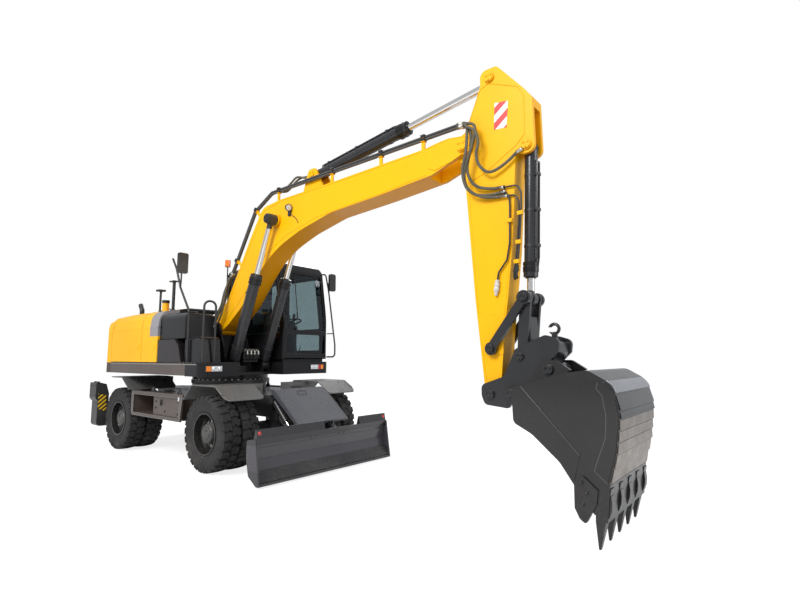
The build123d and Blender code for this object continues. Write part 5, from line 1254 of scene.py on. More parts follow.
bm = bmesh.new()
for side in SIDES:
    doubler(bm, ((5.367, 4.344), (5.525, 4.321), (5.500, 4.030), (5.352, 4.044)), BOOM_Y + side * 0.1195,
            side, 0.0035)
piece_from("arm_stripe_plates", bm, red_white, "arm", bevel=0.0008)
print("pin caps", sum(len(caps) for *_, caps in PIN_CAPS) * 2)

# %% [markdown]
# ## Cylinder ends
# A hydraulic barrel ends in a screwed gland: a thicker collar with grooves for the hook spanner, a
# wiper ring and the chromed rod. Two steel pipes feed it, strapped along the barrel.

# %% Glands, straps and barrel pipes
BARREL_SIDES, STRAPS = 40, 3


def gland(bm, foot, eye, y, radius, at_, rod):
    """The banded head of a barrel."""
    start, end = at(foot[0], y, foot[1]), at(eye[0], y, eye[1])
    forward = (end - start).normalized()
    head = start + forward * at_
    rows = [(-0.152, radius), (-0.150, radius + 0.006), (-0.118, radius + 0.006), (-0.115, radius - 0.001),
            (-0.108, radius - 0.001), (-0.105, radius + 0.006), (-0.050, radius + 0.006), (-0.047, radius),
            (-0.012, radius), (-0.006, radius - 0.006), (0.004, radius - 0.006), (0.008, radius * 0.72),
            (0.016, rod + 0.016), (0.018, rod + 0.003), (0.018, rod + 0.0015), (-0.020, rod + 0.0015),
            (-0.152, rod + 0.0015)]
    along_, first, second = axes_of(forward)
    rings = [circle_of(bm, head + along_ * distance, first, second, size, BARREL_SIDES)
             for distance, size in rows]
    for one, two in zip(rings, rings[1:] + rings[:1]):
        for k in range(BARREL_SIDES):
            after = (k + 1) % BARREL_SIDES
            bm.faces.new((one[k], one[after], two[after], two[k]))
    return start, forward, head


def barrel_lines(bm, start, forward, head, radius, side, lift, length):
    """Two pipes along a barrel with straps round it."""
    out = (Vector((0, side, 0)) * (1 - lift) + Vector((forward.z, 0, -forward.x)) * -lift).normalized()
    other = forward.cross(out)
    for shift in (-0.018, 0.018):
        base = out * (radius + 0.016) + other * shift
        pipes(bm, [[start + forward * 0.16 + out * (radius - 0.01) + other * shift,
                    start + forward * 0.16 + base,
                    head - forward * 0.20 + base,
                    head - forward * (0.09 + shift) + out * radius + other * shift]],
              0.0095, bend=0.02, sides=10)
    strap = ((-0.014, radius + 0.001), (-0.014, radius + 0.0035), (0.014, radius + 0.0035),
             (0.014, radius + 0.001))
    for number in range(STRAPS):
        middle = start + forward * (0.30 + (length - 0.62) * number / (STRAPS - 1))
        turned(bm, middle, forward, strap, BARREL_SIDES, 1)
        verts = [bm.verts.new(middle + forward * a + other * b + out * (radius + c)) for c in (0.001, 0.030)
                 for a, b in ((-0.016, -0.032), (0.016, -0.032), (0.016, 0.032), (-0.016, 0.032))]
        for face in ((0, 1, 2, 3), (4, 7, 6, 5), (0, 4, 5, 1), (1, 5, 6, 2), (2, 6, 7, 3), (3, 7, 4, 0)):
            bm.faces.new([verts[k] for k in face]).material_index = 1


BARRELS = (
    ("boom_cylinder_tubes", (0.790, 1.465), (1.673, 3.683), (BOOM_Y - 0.285, BOOM_Y + 0.285), 0.092, 1.500,
     0.042, 0.082, 0.9),
    ("arm_cylinder_tube", (2.393, 4.278), (5.311, 4.662), (BOOM_Y,), 0.090, 1.720, 0.045, 0.080, 0.75),
    ("bucket_cylinder_tube", (5.714, 3.779), (5.652, 2.185), (BOOM_Y,), 0.074, 1.370, 0.038, 0.066, 0.9),
)
for body, foot, eye, sides_, collar, at_, rod, radius, lift in BARRELS:
    bm = bmesh.new()
    lines = bmesh.new()
    for y in sides_:
        start, forward, head = gland(bm, foot, eye, y, collar, at_, rod)
        side = -1 if y <= BOOM_Y else 1
        barrel_lines(lines, start, forward, head, radius, side, lift, at_)
    piece_from(f"gland_{body}", bm, cab_black, body)
    piece_from(f"pipes_{body}", lines, (charcoal_paint, satin_black), body, bevel=0.001)
print("glands", len(BARRELS))

# %% [markdown]
# ## Work lamp on the boom
# A round lamp in a rubber-edged housing on a bent bracket, its cable clipped down the boom's side.

# %% Work lamp


def round_lamp(bm, centre, direction, radius):
    """A housing with a tapered back, a rim and a lens."""
    turned(bm, centre, direction, ((-0.060, radius * 0.35), (-0.055, radius * 0.55), (-0.030, radius * 0.80),
                                   (0.0, radius), (0.012, radius * 1.04), (0.016, radius * 1.0),
                                   (0.016, radius * 0.9), (0.012, radius * 0.88)), 32)
    turned(bm, centre, direction, ((0.010, radius * 0.87), (0.014, radius * 0.80), (0.018, radius * 0.5),
                                   (0.020, 0.0)), 32, 1)


bm = bmesh.new()
round_lamp(bm, at(2.020, -0.440, 3.810), (1.0, -0.15, -0.25), 0.055)
prism(bm, panel(1.955, 2.005, 3.700, 3.830), -0.400, -0.374)
prism(bm, panel(1.960, 2.000, 3.790, 3.826), -0.450, -0.395)
pipes(bm, [[at(1.985, -0.430, 3.790), at(2.050, -0.395, 3.700), at(2.124, -0.381, 3.638),
            at(2.180, -0.381, 3.560)]], 0.006, sides=8, soft=True)
piece_from("boom_lamp", bm, (satin_black, clear_lens), "boom", bevel=0.002)
print("lamp on the boom")

# %% [markdown]
# ## Bucket
# The shell of a digging bucket wears at the back and the sides, so strips of harder plate are welded
# over it, each lapping the next like a shingle. A beaded doubling plate stiffens the mouth, bolts hold
# the side cutters, and a cast wedge ties every tooth to the shell behind it.

# %% Wear strips, tooth adapters and welds
AHEAD, BEFORE_BLADE = 8.0, 3.2
BUCKET_HALF = 0.582
BUCKET_SIDES = tuple((side, BOOM_Y + side * BUCKET_HALF) for side in SIDES)


def skin_of(name):
    """A solid's surface, to find points on by looking along a line."""
    data = NODES[name].data
    return BVHTree.FromPolygons([tuple(v.co) for v in data.vertices],
                                [tuple(f.vertices) for f in data.polygons])


def seen(surface, start, direction):
    """The first point of a surface that a line meets, and which way the surface faces there."""
    return surface.ray_cast(start, Vector(direction).normalized())[:2]


bucket_skin = skin_of("bucket")
# Upper edges of the strips with their finish, set to paint each strip's reflection: 0 bright steel, 1 dark
# paint, 2 dim steel; then the last lower edge
BACK_STRIPS = ((1.400, 0), (1.298, 1), (1.163, 1), (1.097, 2), (1.006, 2), (0.916, 2), (0.825, 2), (0.712, 2),
               (0.597, 2))
STRIP_GAP, STRIP_HALF, STRIP_LIFTS = 0.010, 0.568, (0.003, 0.005, 0.009, 0.012)


def lifted(rows, lifts):
    """Places raised off a surface along the way that it faces, as (x, z)."""
    return [(place.x + facing.x * lift, place.z + facing.z * lift)
            for (place, facing), lift in zip(rows, lifts)]


bm = bmesh.new()
for (high, tone), (below, _) in zip(BACK_STRIPS, BACK_STRIPS[1:]):
    low = below + STRIP_GAP
    rows = [seen(bucket_skin, at(AHEAD, BOOM_Y, z), (-1, 0, 0))
            for z in (high, (high * 2 + low) / 3, (high + low * 2) / 3, low)]
    outline = lifted(rows, (0.001,) * 4) + lifted(rows, STRIP_LIFTS)[::-1]
    prism(bm, outline, BOOM_Y - STRIP_HALF, BOOM_Y + STRIP_HALF, skin=tone)
piece_from("bucket_back_strips", bm, (bright_sheen_steel, bucket_paint, dim_sheen_steel), "bucket", bevel=0.0012)

MOUTH_PLATE = ((5.708, 1.040), (5.698, 1.318), (5.783, 1.332), (6.282, 0.791), (6.228, 0.590), (6.118, 0.735),
               (5.880, 0.945))
WEAR_PLATE = ((6.448, 1.387), (6.434, 1.336), (6.477, 1.291), (6.502, 1.133), (6.489, 0.951), (6.418, 0.763),
              (6.391, 0.681), (6.488, 0.600), (6.556, 0.830), (6.596, 1.120), (6.570, 1.300), (6.510, 1.392))
bm = bmesh.new()
for side, wall in BUCKET_SIDES:
    for outline, thick in ((MOUTH_PLATE, 0.005), (WEAR_PLATE, 0.007)):
        prism(bm, xz(outline), *sorted((wall - side * 0.001, wall + side * thick)))
    for x, z in ((6.288, 0.585), (6.325, 0.505), (6.292, 0.415)):
        bolt(bm, at(x, wall + side * 0.018, z), (0, side, 0), 0.015)
    pipes(bm, [side_path(MOUTH_PLATE[2:4], wall + side * 0.004),
               side_path(WEAR_PLATE[:8], wall + side * 0.005)], 0.005, bend=0.02, sides=6, skin=1)
piece_from("bucket_side_plates", bm, (bucket_paint, pipe_paint), "bucket", bevel=0.0015)
bm = bmesh.new()
TOOTH_PITCH = 0.2655
for number in range(-2, 3):
    y = BOOM_Y + number * TOOTH_PITCH
    wedge = [seen(bucket_skin, at(AHEAD, y, z), (-1, 0, 0))[0] for z in (0.505, 0.450, 0.390, 0.330)]
    outline = [(place.x - 0.002, place.z) for place in wedge]
    outline += [(place.x + lift, place.z) for place, lift in zip(reversed(wedge),
                (0.004, 0.020, 0.020, 0.004))]
    prism(bm, outline, y - 0.040, y + 0.040)
piece_from("tooth_adapters", bm, bucket_paint, "bucket", bevel=0.003)
print("bucket strips", len(BACK_STRIPS) - 1)

# %% [markdown]
# ## Blade
# The moldboard is rolled plate with two folds. A bolted cutting edge takes the wear along the bottom,
# with countersunk bolts set out by the row tree; ribs stiffen the back. Red reflectors mark its ends.

# %% Cutting edge, ribs and reflectors
blade_skin = skin_of("blade")
bm = bmesh.new()
edge_line = [seen(blade_skin, at(BEFORE_BLADE, 0.0, z), (-1, 0, 0)) for z in (0.190, 0.120, 0.060)]
prism(bm, lifted(edge_line, (0.001,) * 3) + lifted(edge_line, (0.014,) * 3)[::-1], -1.225, 1.225)
middle, facing = edge_line[1]
one = bmesh.new()
turned(one, Vector((middle.x, -1.140, middle.z)) + facing * 0.013, facing,
       ((-0.004, 0.017), (0.002, 0.017), (0.003, 0.012), (0.001, 0.006)), 16)
add_mesh(bm, bake_tree(one, ROW_TREE, charcoal_paint, Count=13, Step=(0.0, 0.190, 0.0)))
for z in (0.470, 0.330):
    place = seen(blade_skin, at(BEFORE_BLADE, 0.0, z), (-1, 0, 0))[0]
    pipes(bm, [[place + Vector((-0.004, -1.228, 0)), place + Vector((-0.004, 1.228, 0))]], 0.0055, sides=8)
piece_from("blade_edge", bm, charcoal_paint, "blade", bevel=0.0015)
RIB = ((2.450, 0.560), (2.400, 0.540), (2.365, 0.420), (2.372, 0.250), (2.405, 0.170), (2.450, 0.110),
       (2.440, 0.330))
bm = bmesh.new()
for low, high in ((-1.100, -1.084), (0.484, 0.500)):
    one = bmesh.new()
    prism(one, xz(RIB), low, high)
    add_mesh(bm, bake_tree(one, ROW_TREE, charcoal_paint, Count=3, Step=(0.0, 0.300, 0.0)))
piece_from("blade_ribs", bm, charcoal_paint, "blade", bevel=0.0015)
bm = bmesh.new()
for side in SIDES:
    turned(bm, at(2.4935, side * 1.185, 0.650), (1, 0, 0.1),
           ((-0.006, 0.026), (0.006, 0.026), (0.009, 0.022), (0.010, 0.0)), 28)
piece_from("blade_reflectors", bm, red_lens, "blade")
cover_skin = skin_of("blade_cover")


def on_cover(x, y, lift):
    """A point just above the blade's cover."""
    return seen(cover_skin, at(x, y, 3.0), (0, 0, -1))[0] + Vector((0, 0, lift))


bm = bmesh.new()
corners = [on_cover(x, y, 0.002) for x, y in ((1.815, -0.030), (1.880, -0.060), (1.890, 0.100),
                                              (1.825, 0.130))]
pipes(bm, [[*corners, corners[0]]], 0.005, bend=0.004, sides=8)
for y in (-0.415, 0.545):
    pipes(bm, [[on_cover(x, y, 0.001) for x in (1.800, 2.290)]], 0.004, sides=6)
piece_from("cover_details", bm, chassis_paint, "blade_cover")
print("blade dressed")

# %% [markdown]
# ## Chassis
# A ring of bolts fastens the slewing ring to its drum. The fenders are tread plate with a rolled edge,
# and the step boxes have bright steel on their edges as painted highlights, bolts, a lock, lugs and a
# reflector.

# %% Slewing bolts, box edge highlights and fittings, reflectors and fender edges
bm = bmesh.new()
SLEW_BOLTS = 40
for number in range(SLEW_BOLTS):
    angle = 2 * math.pi * (number + 0.5) / SLEW_BOLTS
    for radius, z, way in ((0.637, 1.2205, 1), (0.632, 1.1895, -1)):
        bolt(bm, at(radius * math.cos(angle), radius * math.sin(angle), z), (0, 0, way), 0.012)
piece_from("slew_bolts", bm, zinc, "chassis")
BOX_RIM = ((-0.995, 1.030), (-0.995, 0.700), (-0.940, 0.645), (0.620, 0.645), (0.684, 1.030))
BOX_PANEL = ((-0.935, 0.985), (-0.935, 0.700), (-0.915, 0.685), (0.588, 0.685), (0.626, 0.985),
             (-0.935, 0.985))
# Bright steel beads round each box's rim and panel: painted highlights where the edges catch the light.
bm = bmesh.new()
for side in SIDES:
    y = side * BOX_WALL
    pipes(bm, [side_path(BOX_RIM, y)], 0.0055, bend=0.03, sides=8)
    pipes(bm, [side_path(BOX_PANEL, y)], 0.004, bend=0.02, sides=8)
piece_from("box_edge_highlights", bm, bare_steel, "chassis")
bm = bmesh.new()
for side in SIDES:
    wall = side * 1.2155
    for x, z in ((-0.20, 0.80), (-0.20, 0.90), (0.10, 0.76), (0.50, 0.74), (0.50, 0.93)):
        bolt(bm, at(x, wall, z), (0, side, 0), 0.013)
    prism(bm, panel(-0.045, 0.005, 0.870, 0.940), *sorted((wall, wall + side * 0.012)))
    prism(bm, panel(-0.030, -0.010, 0.845, 0.925), *sorted((wall, wall + side * 0.024)))
    for x in (-0.55, 0.30):
        inner = side * 1.130
        prism(bm, xz(((x, 1.012), (x + 0.16, 1.012), (x + 0.095, 1.110), (x + 0.065, 1.110))),
              *sorted((inner, inner + side * 0.020)))
piece_from("box_fittings", bm, chassis_paint, "chassis", bevel=0.002)
bm = bmesh.new()
for side in SIDES:
    wall = side * BOX_WALL
    prism(bm, xz(((0.560, 0.940), (0.595, 0.940), (0.605, 1.000), (0.570, 1.000))),
          *sorted((wall, wall + side * 0.006)))
piece_from("side_reflectors", bm, clear_lens, "chassis", bevel=0.0015)
bm = bmesh.new()
for rim in (((0.702, 0.975), (0.940, 1.194), (1.550, 1.194), (1.740, 1.082)),
            ((-1.860, 1.242), (-1.440, 1.242), (-1.135, 1.045))):
    for side in SIDES:
        pipes(bm, [side_path(rim, side * 1.246)], 0.009, bend=0.05, sides=8)
piece_from("fender_edges", bm, checker_paint, "chassis")
print("chassis dressed")

# %% [markdown]
# ## Stabilisers
# Each leg carries a warning panel with yellow and black bars, and its foot pad has bolts, a lip and ribs.

# %% Warning panels and pads
for hand, side in (("left", 1), ("right", -1)):
    bm = bmesh.new()
    front = at(-2.1995, 0, 0).x
    prism(bm, [(side * 1.180, 0.600), (side * 1.330, 0.660), (side * 1.330, 0.930), (side * 1.200, 0.900)],
          front, front + 0.004, "x")
    piece_from(f"warning_panel_{hand}", bm, yellow_black_left if side > 0 else yellow_black,
               f"stabiliser_{hand}", bevel=0.0008)
    bm = bmesh.new()
    wall = side * 1.3745
    for x in (-2.45, -2.25):
        for z in (0.90, 1.08):
            bolt(bm, at(x, wall, z), (0, side, 0), 0.014)
    prism(bm, panel(-2.500, -2.205, 0.850, 0.868), *sorted((wall - side * 0.01, wall + side * 0.001)))
    for x in (-2.40, -2.26):
        rib = at(x, 0, 0).x
        prism(bm, [(side * 1.300, 1.125), (side * 1.345, 1.125), (side * 1.345, 1.150),
                   (side * 1.300, 1.150)], rib - 0.008, rib + 0.008, "x")
    piece_from(f"pad_fittings_{hand}", bm, brown_grey_paint, f"stabiliser_{hand}", bevel=0.002)
print("stabilisers dressed")

# %% [markdown]
# ## Deck
# Lamps sit in moulded bezels let into the deck's front corners. The rail stands on flanged feet, the
# step unit and the deck carry tread plate, and a thin light zinc strip lines the top edge of each side skirt.

# %% Deck lamps, feet, treads and strips


def box_lamp(bm, low, high, skins):
    """A bezel with lenses side by side; skins lists each lens and its share of the width."""
    brick(bm, (low[0], low[1] - 0.008, low[2] - 0.008), (high[0] - 0.004, high[1] + 0.008, high[2] + 0.008))
    reach = low[1]
    for skin, share in skins:
        wide = (high[1] - low[1]) * share
        brick(bm, (high[0] - 0.010, reach + 0.003, low[2]), (high[0], reach + wide - 0.003, high[2]), skin)
        reach += wide


front = at(1.170, 0, 0).x
bm = bmesh.new()
box_lamp(bm, (front - 0.030, -1.176, 1.388), (front + 0.012, -0.917, 1.462), ((1, 0.32), (2, 0.68)))
box_lamp(bm, (front - 0.030, 0.800, 1.388), (front + 0.012, 1.090, 1.462), ((2, 0.60), (3, 0.20), (1, 0.20)))
for y0, y1 in ((-1.085, -1.020), (-0.990, -0.930), (0.815, 0.875), (0.905, 0.965)):
    turned(bm, (front + 0.010, (y0 + y1) / 2, 1.425), (1, 0, 0),
           ((0, 0.026), (0.004, 0.026), (0.006, 0.020), (0.007, 0.0)), 20, 4)
piece_from("deck_lamps", bm, (satin_black, amber_lens, clear_lens, red_lens, mirror_silver), "upper",
           bevel=0.003)
RAIL_X, RAIL_Y = 1.083, (-1.190, -1.000)
bm = bmesh.new()
for y in RAIL_Y:
    turned(bm, at(RAIL_X, y, 1.5145), (0, 0, 1), ((0, 0.034), (0.006, 0.034), (0.008, 0.030), (0.008, 0.017),
                                                  (0.030, 0.0175)), 24)
    for turn in (0.8, 2.4, 3.9, 5.5):
        bolt(bm, at(RAIL_X, y, 1.5205) + Vector((math.cos(turn), math.sin(turn), 0)) * 0.027, (0, 0, 1),
             0.0045)
piece_from("rail_feet", bm, satin_black, "upper")
bm = bmesh.new()
brick(bm, at(0.640, -1.150, 1.894), at(0.960, -0.900, 1.8985))
brick(bm, at(1.062, -1.060, DECK_TOP), at(1.150, -0.660, 1.5165))
brick(bm, at(-0.120, -1.120, 2.2845), at(0.540, -0.790, 2.2885))
piece_from("deck_treads", bm, step_plate, "upper", bevel=0.0012)
bm = bmesh.new()
for side in SIDES:
    wall = side * 1.2502
    for x0, x1 in ((-1.950, 0.615), (0.640, 1.035)):
        prism(bm, panel(x0, x1, 1.480, 1.492), *sorted((wall - side * 0.002, wall + side * 0.004)))
piece_from("skirt_strips", bm, zinc, "upper", bevel=0.001)
one = bmesh.new()
turned(one, at(0.10, -1.238, DECK_TOP), (0, 0, 1), ((0, 0.008), (0.004, 0.008), (0.006, 0.004)), 10)
bm = bmesh.new()
add_mesh(bm, bake_tree(one, ROW_TREE, zinc, Count=12, Step=(0.078, 0.0, 0.0)))
piece_from("deck_edge_rivets", bm, zinc, "upper")
print("deck dressed")

# %% [markdown]
# ## Valves and hoses at the boom's foot
# Between the feet of the boom's cylinders a manifold turns the oil towards them. Four zinc elbows
# point out of it, and a hose bends from each one down to the deck.

# %% Manifold, elbows and hoses
bm = bmesh.new()
brick(bm, at(0.700, -0.345, 1.516), at(0.850, -0.065, 1.735))
for y in (-0.310, -0.240, -0.170, -0.100):
    turned(bm, at(0.848, y, 1.705), (1, 0, 0), ((0, 0.019), (0.012, 0.019)), 6, 1)
    pipes(bm, [[at(0.858, y, 1.705), at(0.905, y, 1.705), at(0.909, y, 1.655)]], 0.012, bend=0.018, sides=12,
          skin=1)
    turned(bm, at(0.909, y, 1.660), (0, 0, -1), ((0, 0.018), (0.022, 0.018)), 6, 1)
    pipes(bm, [[at(0.909, y, 1.645), at(0.915, y - 0.006, 1.600), at(0.880, y - 0.012, 1.555),
                at(0.800, y - 0.016, 1.535)]], 0.0115, sides=10, soft=True, skin=2)
piece_from("boom_manifold", bm, (cab_black, zinc, hose_rubber), "upper", bevel=0.002)
bm = bmesh.new()
for shift in (0.0, 0.045):
    pipes(bm, [[at(0.100 + shift, 0.120, 1.532), at(0.300, 0.150 - shift, 1.534),
                at(0.460, 0.130 - shift, 1.540),
                at(0.590, 0.060 - shift, 1.545), at(0.705, -0.080 - shift, 1.560)]], 0.015, sides=10,
                soft=True)
piece_from("deck_hoses", bm, hose_rubber, "upper")
print("manifold with 4 elbows")

# %% [markdown]
# ## Doors and hood
# Pressed doors close with a flush paddle lock under a folded upper lip, and louvres let hot air out of
# the left side. Grab bars, a filler cap and plugs finish lid, tank and tail, and thin seams show where
# the hood's sheets meet.

# %% Locks, lips, louvres, grab bars, cap, plugs and seams


def paddle(bm, x, z, side):
    """A flush lock: a pan, its paddle and a key barrel."""
    wall = side * DOOR_WALL
    for (a, b, c, d), depth, skin in (((-0.070, -0.040, 0.070, 0.040), 0.003, 0),
                                      ((-0.058, -0.028, 0.020, 0.028), 0.007, 1)):
        prism(bm, panel(x + a, x + c, z + b, z + d), *sorted((wall, wall + side * depth)), skin=skin)
    turned(bm, at(x + 0.045, wall + side * 0.002, z), (0, side, 0),
           ((0, 0.014), (0.005, 0.014), (0.006, 0.010)), 18, 1)


# Body, side, the door's ends, lock x, and where its louvres start if it has any
DOORS = (("side_door_left", 1, (-1.954, -0.717), -0.830, -1.50),
         ("side_door_right", -1, (-1.954, -0.761), -0.880, None),
         ("pump_door", -1, (-0.747, -0.196), -0.280, None))
LOUVRES, LOUVRE_PITCH, LOUVRE_LENGTH = 8, 0.046, 0.42
for body, side, (rear_x, front_end), lock_x, louvre_x in DOORS:
    bm = bmesh.new()
    paddle(bm, lock_x, 1.760, side)
    wall = side * 1.2497
    prism(bm, panel(rear_x, front_end, 2.062, 2.0845), *sorted((wall, wall + side * 0.0025)))
    piece_from(f"{body}_lock", bm, (hood_paint, hood_paint), body, bevel=0.001)
    if louvre_x:
        bm = bmesh.new()
        wall = side * DOOR_WALL
        for row in range(LOUVRES):
            z = 1.640 + row * LOUVRE_PITCH
            prism(bm, [(wall, z), (wall + side * 0.009, z + 0.004), (wall + side * 0.009, z + 0.010),
                       (wall, z + 0.032)],
                  at(louvre_x, 0, 0).x, at(louvre_x + LOUVRE_LENGTH, 0, 0).x, "x")
        piece_from(f"{body}_louvres", bm, yellow_paint, body, bevel=0.0015)
bm = bmesh.new()
for y in (-0.560, 0.560):
    pipes(bm, [side_path(((-1.70, 2.37), (-1.70, 2.455), (-1.20, 2.488), (-1.20, 2.42)), y)], 0.011,
          bend=0.03, sides=10)
piece_from("lid_grab_bars", bm, satin_black, "hood_lid")
bm = bmesh.new()
turned(bm, at(0.420, -0.980, 2.270), (0, 0, 1), ((0, 0.060), (0.020, 0.060), (0.022, 0.054), (0.030, 0.054),
                                                 (0.036, 0.046), (0.036, 0.0)), 36)
for number in range(12):
    angle = math.pi * number / 6
    bolt(bm, at(0.420, -0.980, 2.290) + Vector((math.cos(angle), math.sin(angle), 0)) * 0.0565, (0, 0, 1),
         0.003)
brick(bm, at(0.395, -1.035, 2.296), at(0.445, -0.925, 2.312))
piece_from("tank_cap", bm, satin_black, "upper", bevel=0.002)
bm = bmesh.new()
for y in (-0.90, -0.30, 0.30, 0.90):
    x = at(-2.290, 0, 0).x
    turned(bm, (x, y, 1.60), (-1, 0, 0), ((0, 0.040), (0.006, 0.040), (0.010, 0.030), (0.004, 0.022),
                                          (0.004, 0.0)), 24)
piece_from("tail_plugs", bm, tail_paint, "upper")
hood_skin = skin_of("hood")
bm = bmesh.new()
for side, x in ((-1, -0.754), (-1, -1.900), (1, -1.900)):
    found = [seen(hood_skin, at(x, side * 3.0, z), (0, -side, 0))[0] for z in (2.090, 2.150, 2.210, 2.260,
             2.300)]
    found += [seen(hood_skin, at(x, side * y, 4.0), (0, 0, -1))[0] for y in (1.150, 1.080, 0.980, 0.850,
              0.720)]
    pipes(bm, [[place for place in found if place]], 0.0028, bend=0.02, sides=6)
piece_from("hood_seams", bm, satin_black, "upper")
print("doors", len(DOORS))

# %% [markdown]
# ## Cab
# Rubber profiles hold the panes. A wiper sweeps the windscreen, the roof has a raised hatch and a rain
# rail, three hinges and a handle serve the door, and the mirrors get their glass.

# %% Gaskets, hinges, wiper, roof and mirror glass


def front_x(z):
    """The windscreen's outer face at a height, in the frame."""
    return at(1.110 if z <= 2.060 else 1.110 - 0.160 * (z - 2.060) / 1.050, 0, 0).x


SCREEN_LEFT, SCREEN_RIGHT = 1.195, 0.300
bm = bmesh.new()
loops = []
for low, high in ((1.640, 1.990), (2.050, 3.070)):
    middle = (SCREEN_LEFT + SCREEN_RIGHT) / 2
    corners = [(middle, low), (SCREEN_LEFT, low), (SCREEN_LEFT, high), (SCREEN_RIGHT, high),
               (SCREEN_RIGHT, low), (middle, low)]
    loops.append([(front_x(z) - 0.004, y, z) for y, z in corners])
for outline, y in (
    (((-0.575, 2.53), (-0.575, 2.120), (-0.120, 2.120), (-0.120, 3.045), (-0.575, 3.045), (-0.575, 2.53)),
     CAB_WALL),
    (((-0.575, 2.53), (-0.575, 2.000), (1.010, 2.000), (0.850, 3.060), (-0.575, 3.060), (-0.575, 2.53)),
     0.2515),
):
    loops.append(side_path(outline, y))
pipes(bm, loops, 0.009, bend=0.055, sides=8)
piece_from("cab_gaskets", bm, hose_rubber, "upper")
bm = bmesh.new()
loops = []
for outline in (((-0.005, 2.60), (-0.005, 2.105), (0.930, 2.105), (0.782, 3.045), (-0.005, 3.045),
                 (-0.005, 2.60)),
                ((-0.005, 1.88), (-0.005, 1.710), (0.930, 1.710), (0.930, 2.055), (-0.005, 2.055),
                 (-0.005, 1.88))):
    loops.append(side_path(outline, CAB_WALL))
pipes(bm, loops, 0.009, bend=0.045, sides=8)
pipes(bm, [[at(0.880, 1.247, 1.990), at(0.880, 1.285, 1.990), at(0.880, 1.285, 2.190),
            at(0.880, 1.247, 2.190)]], 0.010, bend=0.02, sides=10, skin=1)
prism(bm, panel(0.830, 0.930, 2.030, 2.085), 1.2445, 1.252, skin=1)
piece_from("door_gaskets", bm, (hose_rubber, satin_black), "cab_door")
bm = bmesh.new()
for z in (1.760, 2.400, 2.980):
    turned(bm, at(-0.066, 1.253, z), (0, 0, 1), ((0, 0.011), (0.095, 0.011), (0.098, 0.007)), 16)
    prism(bm, xz(((-0.160, z + 0.020), (-0.070, z + 0.008), (-0.070, z + 0.088), (-0.160, z + 0.075))),
          1.2445, 1.251)
piece_from("cab_hinges", bm, satin_black, "upper", bevel=0.0015)
bm = bmesh.new()
pivot = (front_x(2.080) + 0.004, 0.520, 2.085)
turned(bm, pivot, (1, 0, 0.15), ((-0.006, 0.022), (0.014, 0.022), (0.020, 0.014)), 20)
tip = (front_x(2.620) + 0.020, 0.560, 2.620)
pipes(bm, [[(pivot[0] + 0.012, pivot[1], pivot[2]), (front_x(2.3) + 0.026, 0.535, 2.300), tip]], 0.006,
      sides=8)
prism(bm, [(front_x(z) + lift, z) for z, lift in ((2.250, 0.006), (2.250, 0.018), (2.980, 0.018),
                                                  (2.980, 0.006))], 0.556, 0.566)
piece_from("wiper", bm, satin_black, "upper")
bm = bmesh.new()
prism(bm, xz(((-0.480, 3.246), (0.640, 3.246), (0.700, 3.262), (0.620, 3.284), (-0.440, 3.284),
              (-0.480, 3.270))), 0.450, 1.050)
prism(bm, xz(((0.700, 3.244), (0.800, 3.236), (0.840, 3.246), (0.720, 3.268))), 0.400, 1.100)
for y in (0.2475, 1.2475):
    pipes(bm, [[at(-0.60, y, 3.115), at(0.78, y, 3.135), at(0.925, y, 3.070), at(0.985, y, 2.700)]], 0.009,
          bend=0.05, sides=8)
piece_from("roof_hatch", bm, cab_black, "upper", bevel=0.010, segments=3)
MIRROR_THICK = 0.003
bm = bmesh.new()
for x, y0, y1, z0, z1 in ((0.466, -1.310, -1.170, 2.902, 3.178), (1.140, 1.234, 1.363, 2.822, 3.098)):
    back = at(x, 0, 0).x
    prism(bm, [(y0, z0), (y1, z0), (y1, z1), (y0, z1)], back - MIRROR_THICK, back, "x")
piece_from("mirror_glass", bm, mirror_silver, "upper")
print("cab dressed")

# %% [markdown]
# ## Inside the cab
# Through the large panes a monitor, levers with rubber boots, pedals and a floor mat show.

# %% Monitor, levers, pedals and mat
bm = bmesh.new()
pipes(bm, [[at(0.960, 0.345, 1.700), at(0.960, 0.345, 2.120), at(0.900, 0.400, 2.200)]], 0.014, sides=10)
prism(bm, xz(((0.868, 2.130), (0.900, 2.125), (0.930, 2.320), (0.898, 2.325))), 0.330, 0.530)
prism(bm, xz(((0.864, 2.146), (0.868, 2.146), (0.894, 2.310), (0.890, 2.310))), 0.345, 0.515, skin=1)
for y in (0.420, 1.070):
    turned(bm, at(0.340, y, 2.176), (0.06, 0, 1), ((0, 0.052), (0.012, 0.048), (0.020, 0.050), (0.034, 0.040),
                                                   (0.042, 0.042), (0.056, 0.030), (0.064, 0.032),
                                                   (0.080, 0.020)), 28)
    turned(bm, at(0.360, y, 2.300), (0.08, 0, 1), ((0, 0.014), (0.020, 0.024), (0.060, 0.026), (0.100, 0.022),
                                                   (0.116, 0.014), (0.120, 0.0)), 24)
for y in (0.660, 0.830):
    prism(bm, xz(((0.720, 1.625), (0.880, 1.665), (0.876, 1.677), (0.716, 1.637))), y - 0.045, y + 0.045)
    pipes(bm, [[at(0.800, y, 1.650), at(0.860, y, 1.800)]], 0.007, sides=8)
brick(bm, at(-0.560, 0.310, 1.601), at(0.940, 1.180, 1.607))
piece_from("cab_interior", bm, (satin_black, lamp_glass), "upper", bevel=0.003)
print("interior ready")

# %% [markdown]
# ## Seat
# Foam under woven cloth: each pad starts as a smaller rounded block, a cloth simulation blows it up
# against its own seams, and a cap on how far the cloth moves keeps it in its space.

# %% Cushion and back as inflated pads
PAD_SHRINK, PAD_CAP, PAD_VOXEL = 0.009, 0.016, 0.006
PRESSURE, SETTLING_FRAMES = 4.0, 20


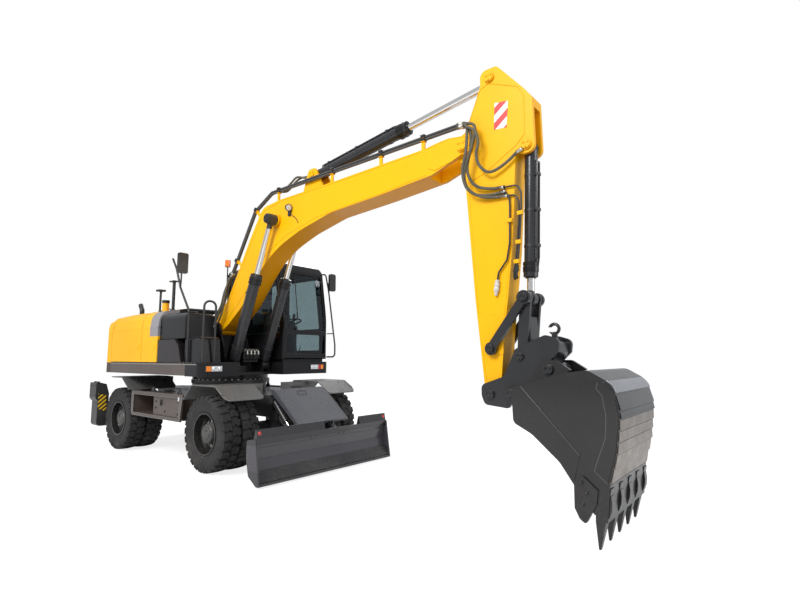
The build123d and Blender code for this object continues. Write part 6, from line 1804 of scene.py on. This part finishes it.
def pad_mesh(name, source):
    """A rounded, slightly smaller copy of a solid."""
    bm = bmesh.new()
    bm.from_mesh(source)
    bmesh.ops.remove_doubles(bm, verts=bm.verts[:], dist=0.0001)
    bmesh.ops.recalc_face_normals(bm, faces=bm.faces[:])
    bmesh.ops.dissolve_limit(bm, angle_limit=0.01, verts=bm.verts[:], edges=bm.edges[:])
    middle = sum((v.co for v in bm.verts), Vector()) / len(bm.verts)
    reach = [max(abs(v.co[axis] - middle[axis]) for v in bm.verts) for axis in range(3)]
    for vertex in bm.verts:
        for axis in range(3):
            away = vertex.co[axis] - middle[axis]
            vertex.co[axis] = middle[axis] + away * (1 - PAD_SHRINK / reach[axis])
    bmesh.ops.bevel(bm, geom=bm.edges[:], offset=0.024, segments=4, profile=0.6, affect="EDGES")
    data = bpy.data.meshes.new(name)
    bm.to_mesh(data)
    bm.free()
    return data


def pad(node_name):
    """A padded piece in the place of its solid."""
    piece = bpy.data.objects.new(f"{node_name}_pad", pad_mesh(f"{node_name}_pad", NODES[node_name].data))
    scene.collection.objects.link(piece)
    grid = piece.modifiers.new("cells", "REMESH")
    grid.mode = "VOXEL"
    grid.voxel_size = PAD_VOXEL
    settle(piece)
    start = [v.co.copy() for v in piece.data.vertices]
    cloth = piece.modifiers.new("foam", "CLOTH")
    cloth.settings.use_pressure = True
    cloth.settings.uniform_pressure_force = PRESSURE
    cloth.settings.effector_weights.gravity = 0.0
    cloth.settings.quality = 5
    for frame_number in range(1, SETTLING_FRAMES + 1):
        scene.frame_set(frame_number)
    settle(piece)
    scene.frame_set(1)
    for vertex, before in zip(piece.data.vertices, start):
        moved = vertex.co - before
        if moved.length > PAD_CAP:
            vertex.co = before + moved * (PAD_CAP / moved.length)
    soft = piece.modifiers.new("smooth", "SUBSURF")
    soft.levels = 1
    soft.render_levels = 1
    settle(piece)
    piece.data.materials.clear()
    piece.data.materials.append(seat_cloth)
    piece.data.polygons.foreach_set("use_smooth", [True] * len(piece.data.polygons))
    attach(piece, "upper")
    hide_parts(node_name)
    return piece


def settle(piece):
    """Apply the modifiers that a piece carries."""
    bpy.context.view_layer.update()
    done = bpy.data.meshes.new_from_object(piece.evaluated_get(bpy.context.evaluated_depsgraph_get()))
    piece.modifiers.clear()
    old = piece.data
    piece.data = done
    bpy.data.meshes.remove(old)


for node_name in ("seat_cushion", "seat_back"):
    made = pad(node_name)
    print(made.name, len(made.data.vertices))
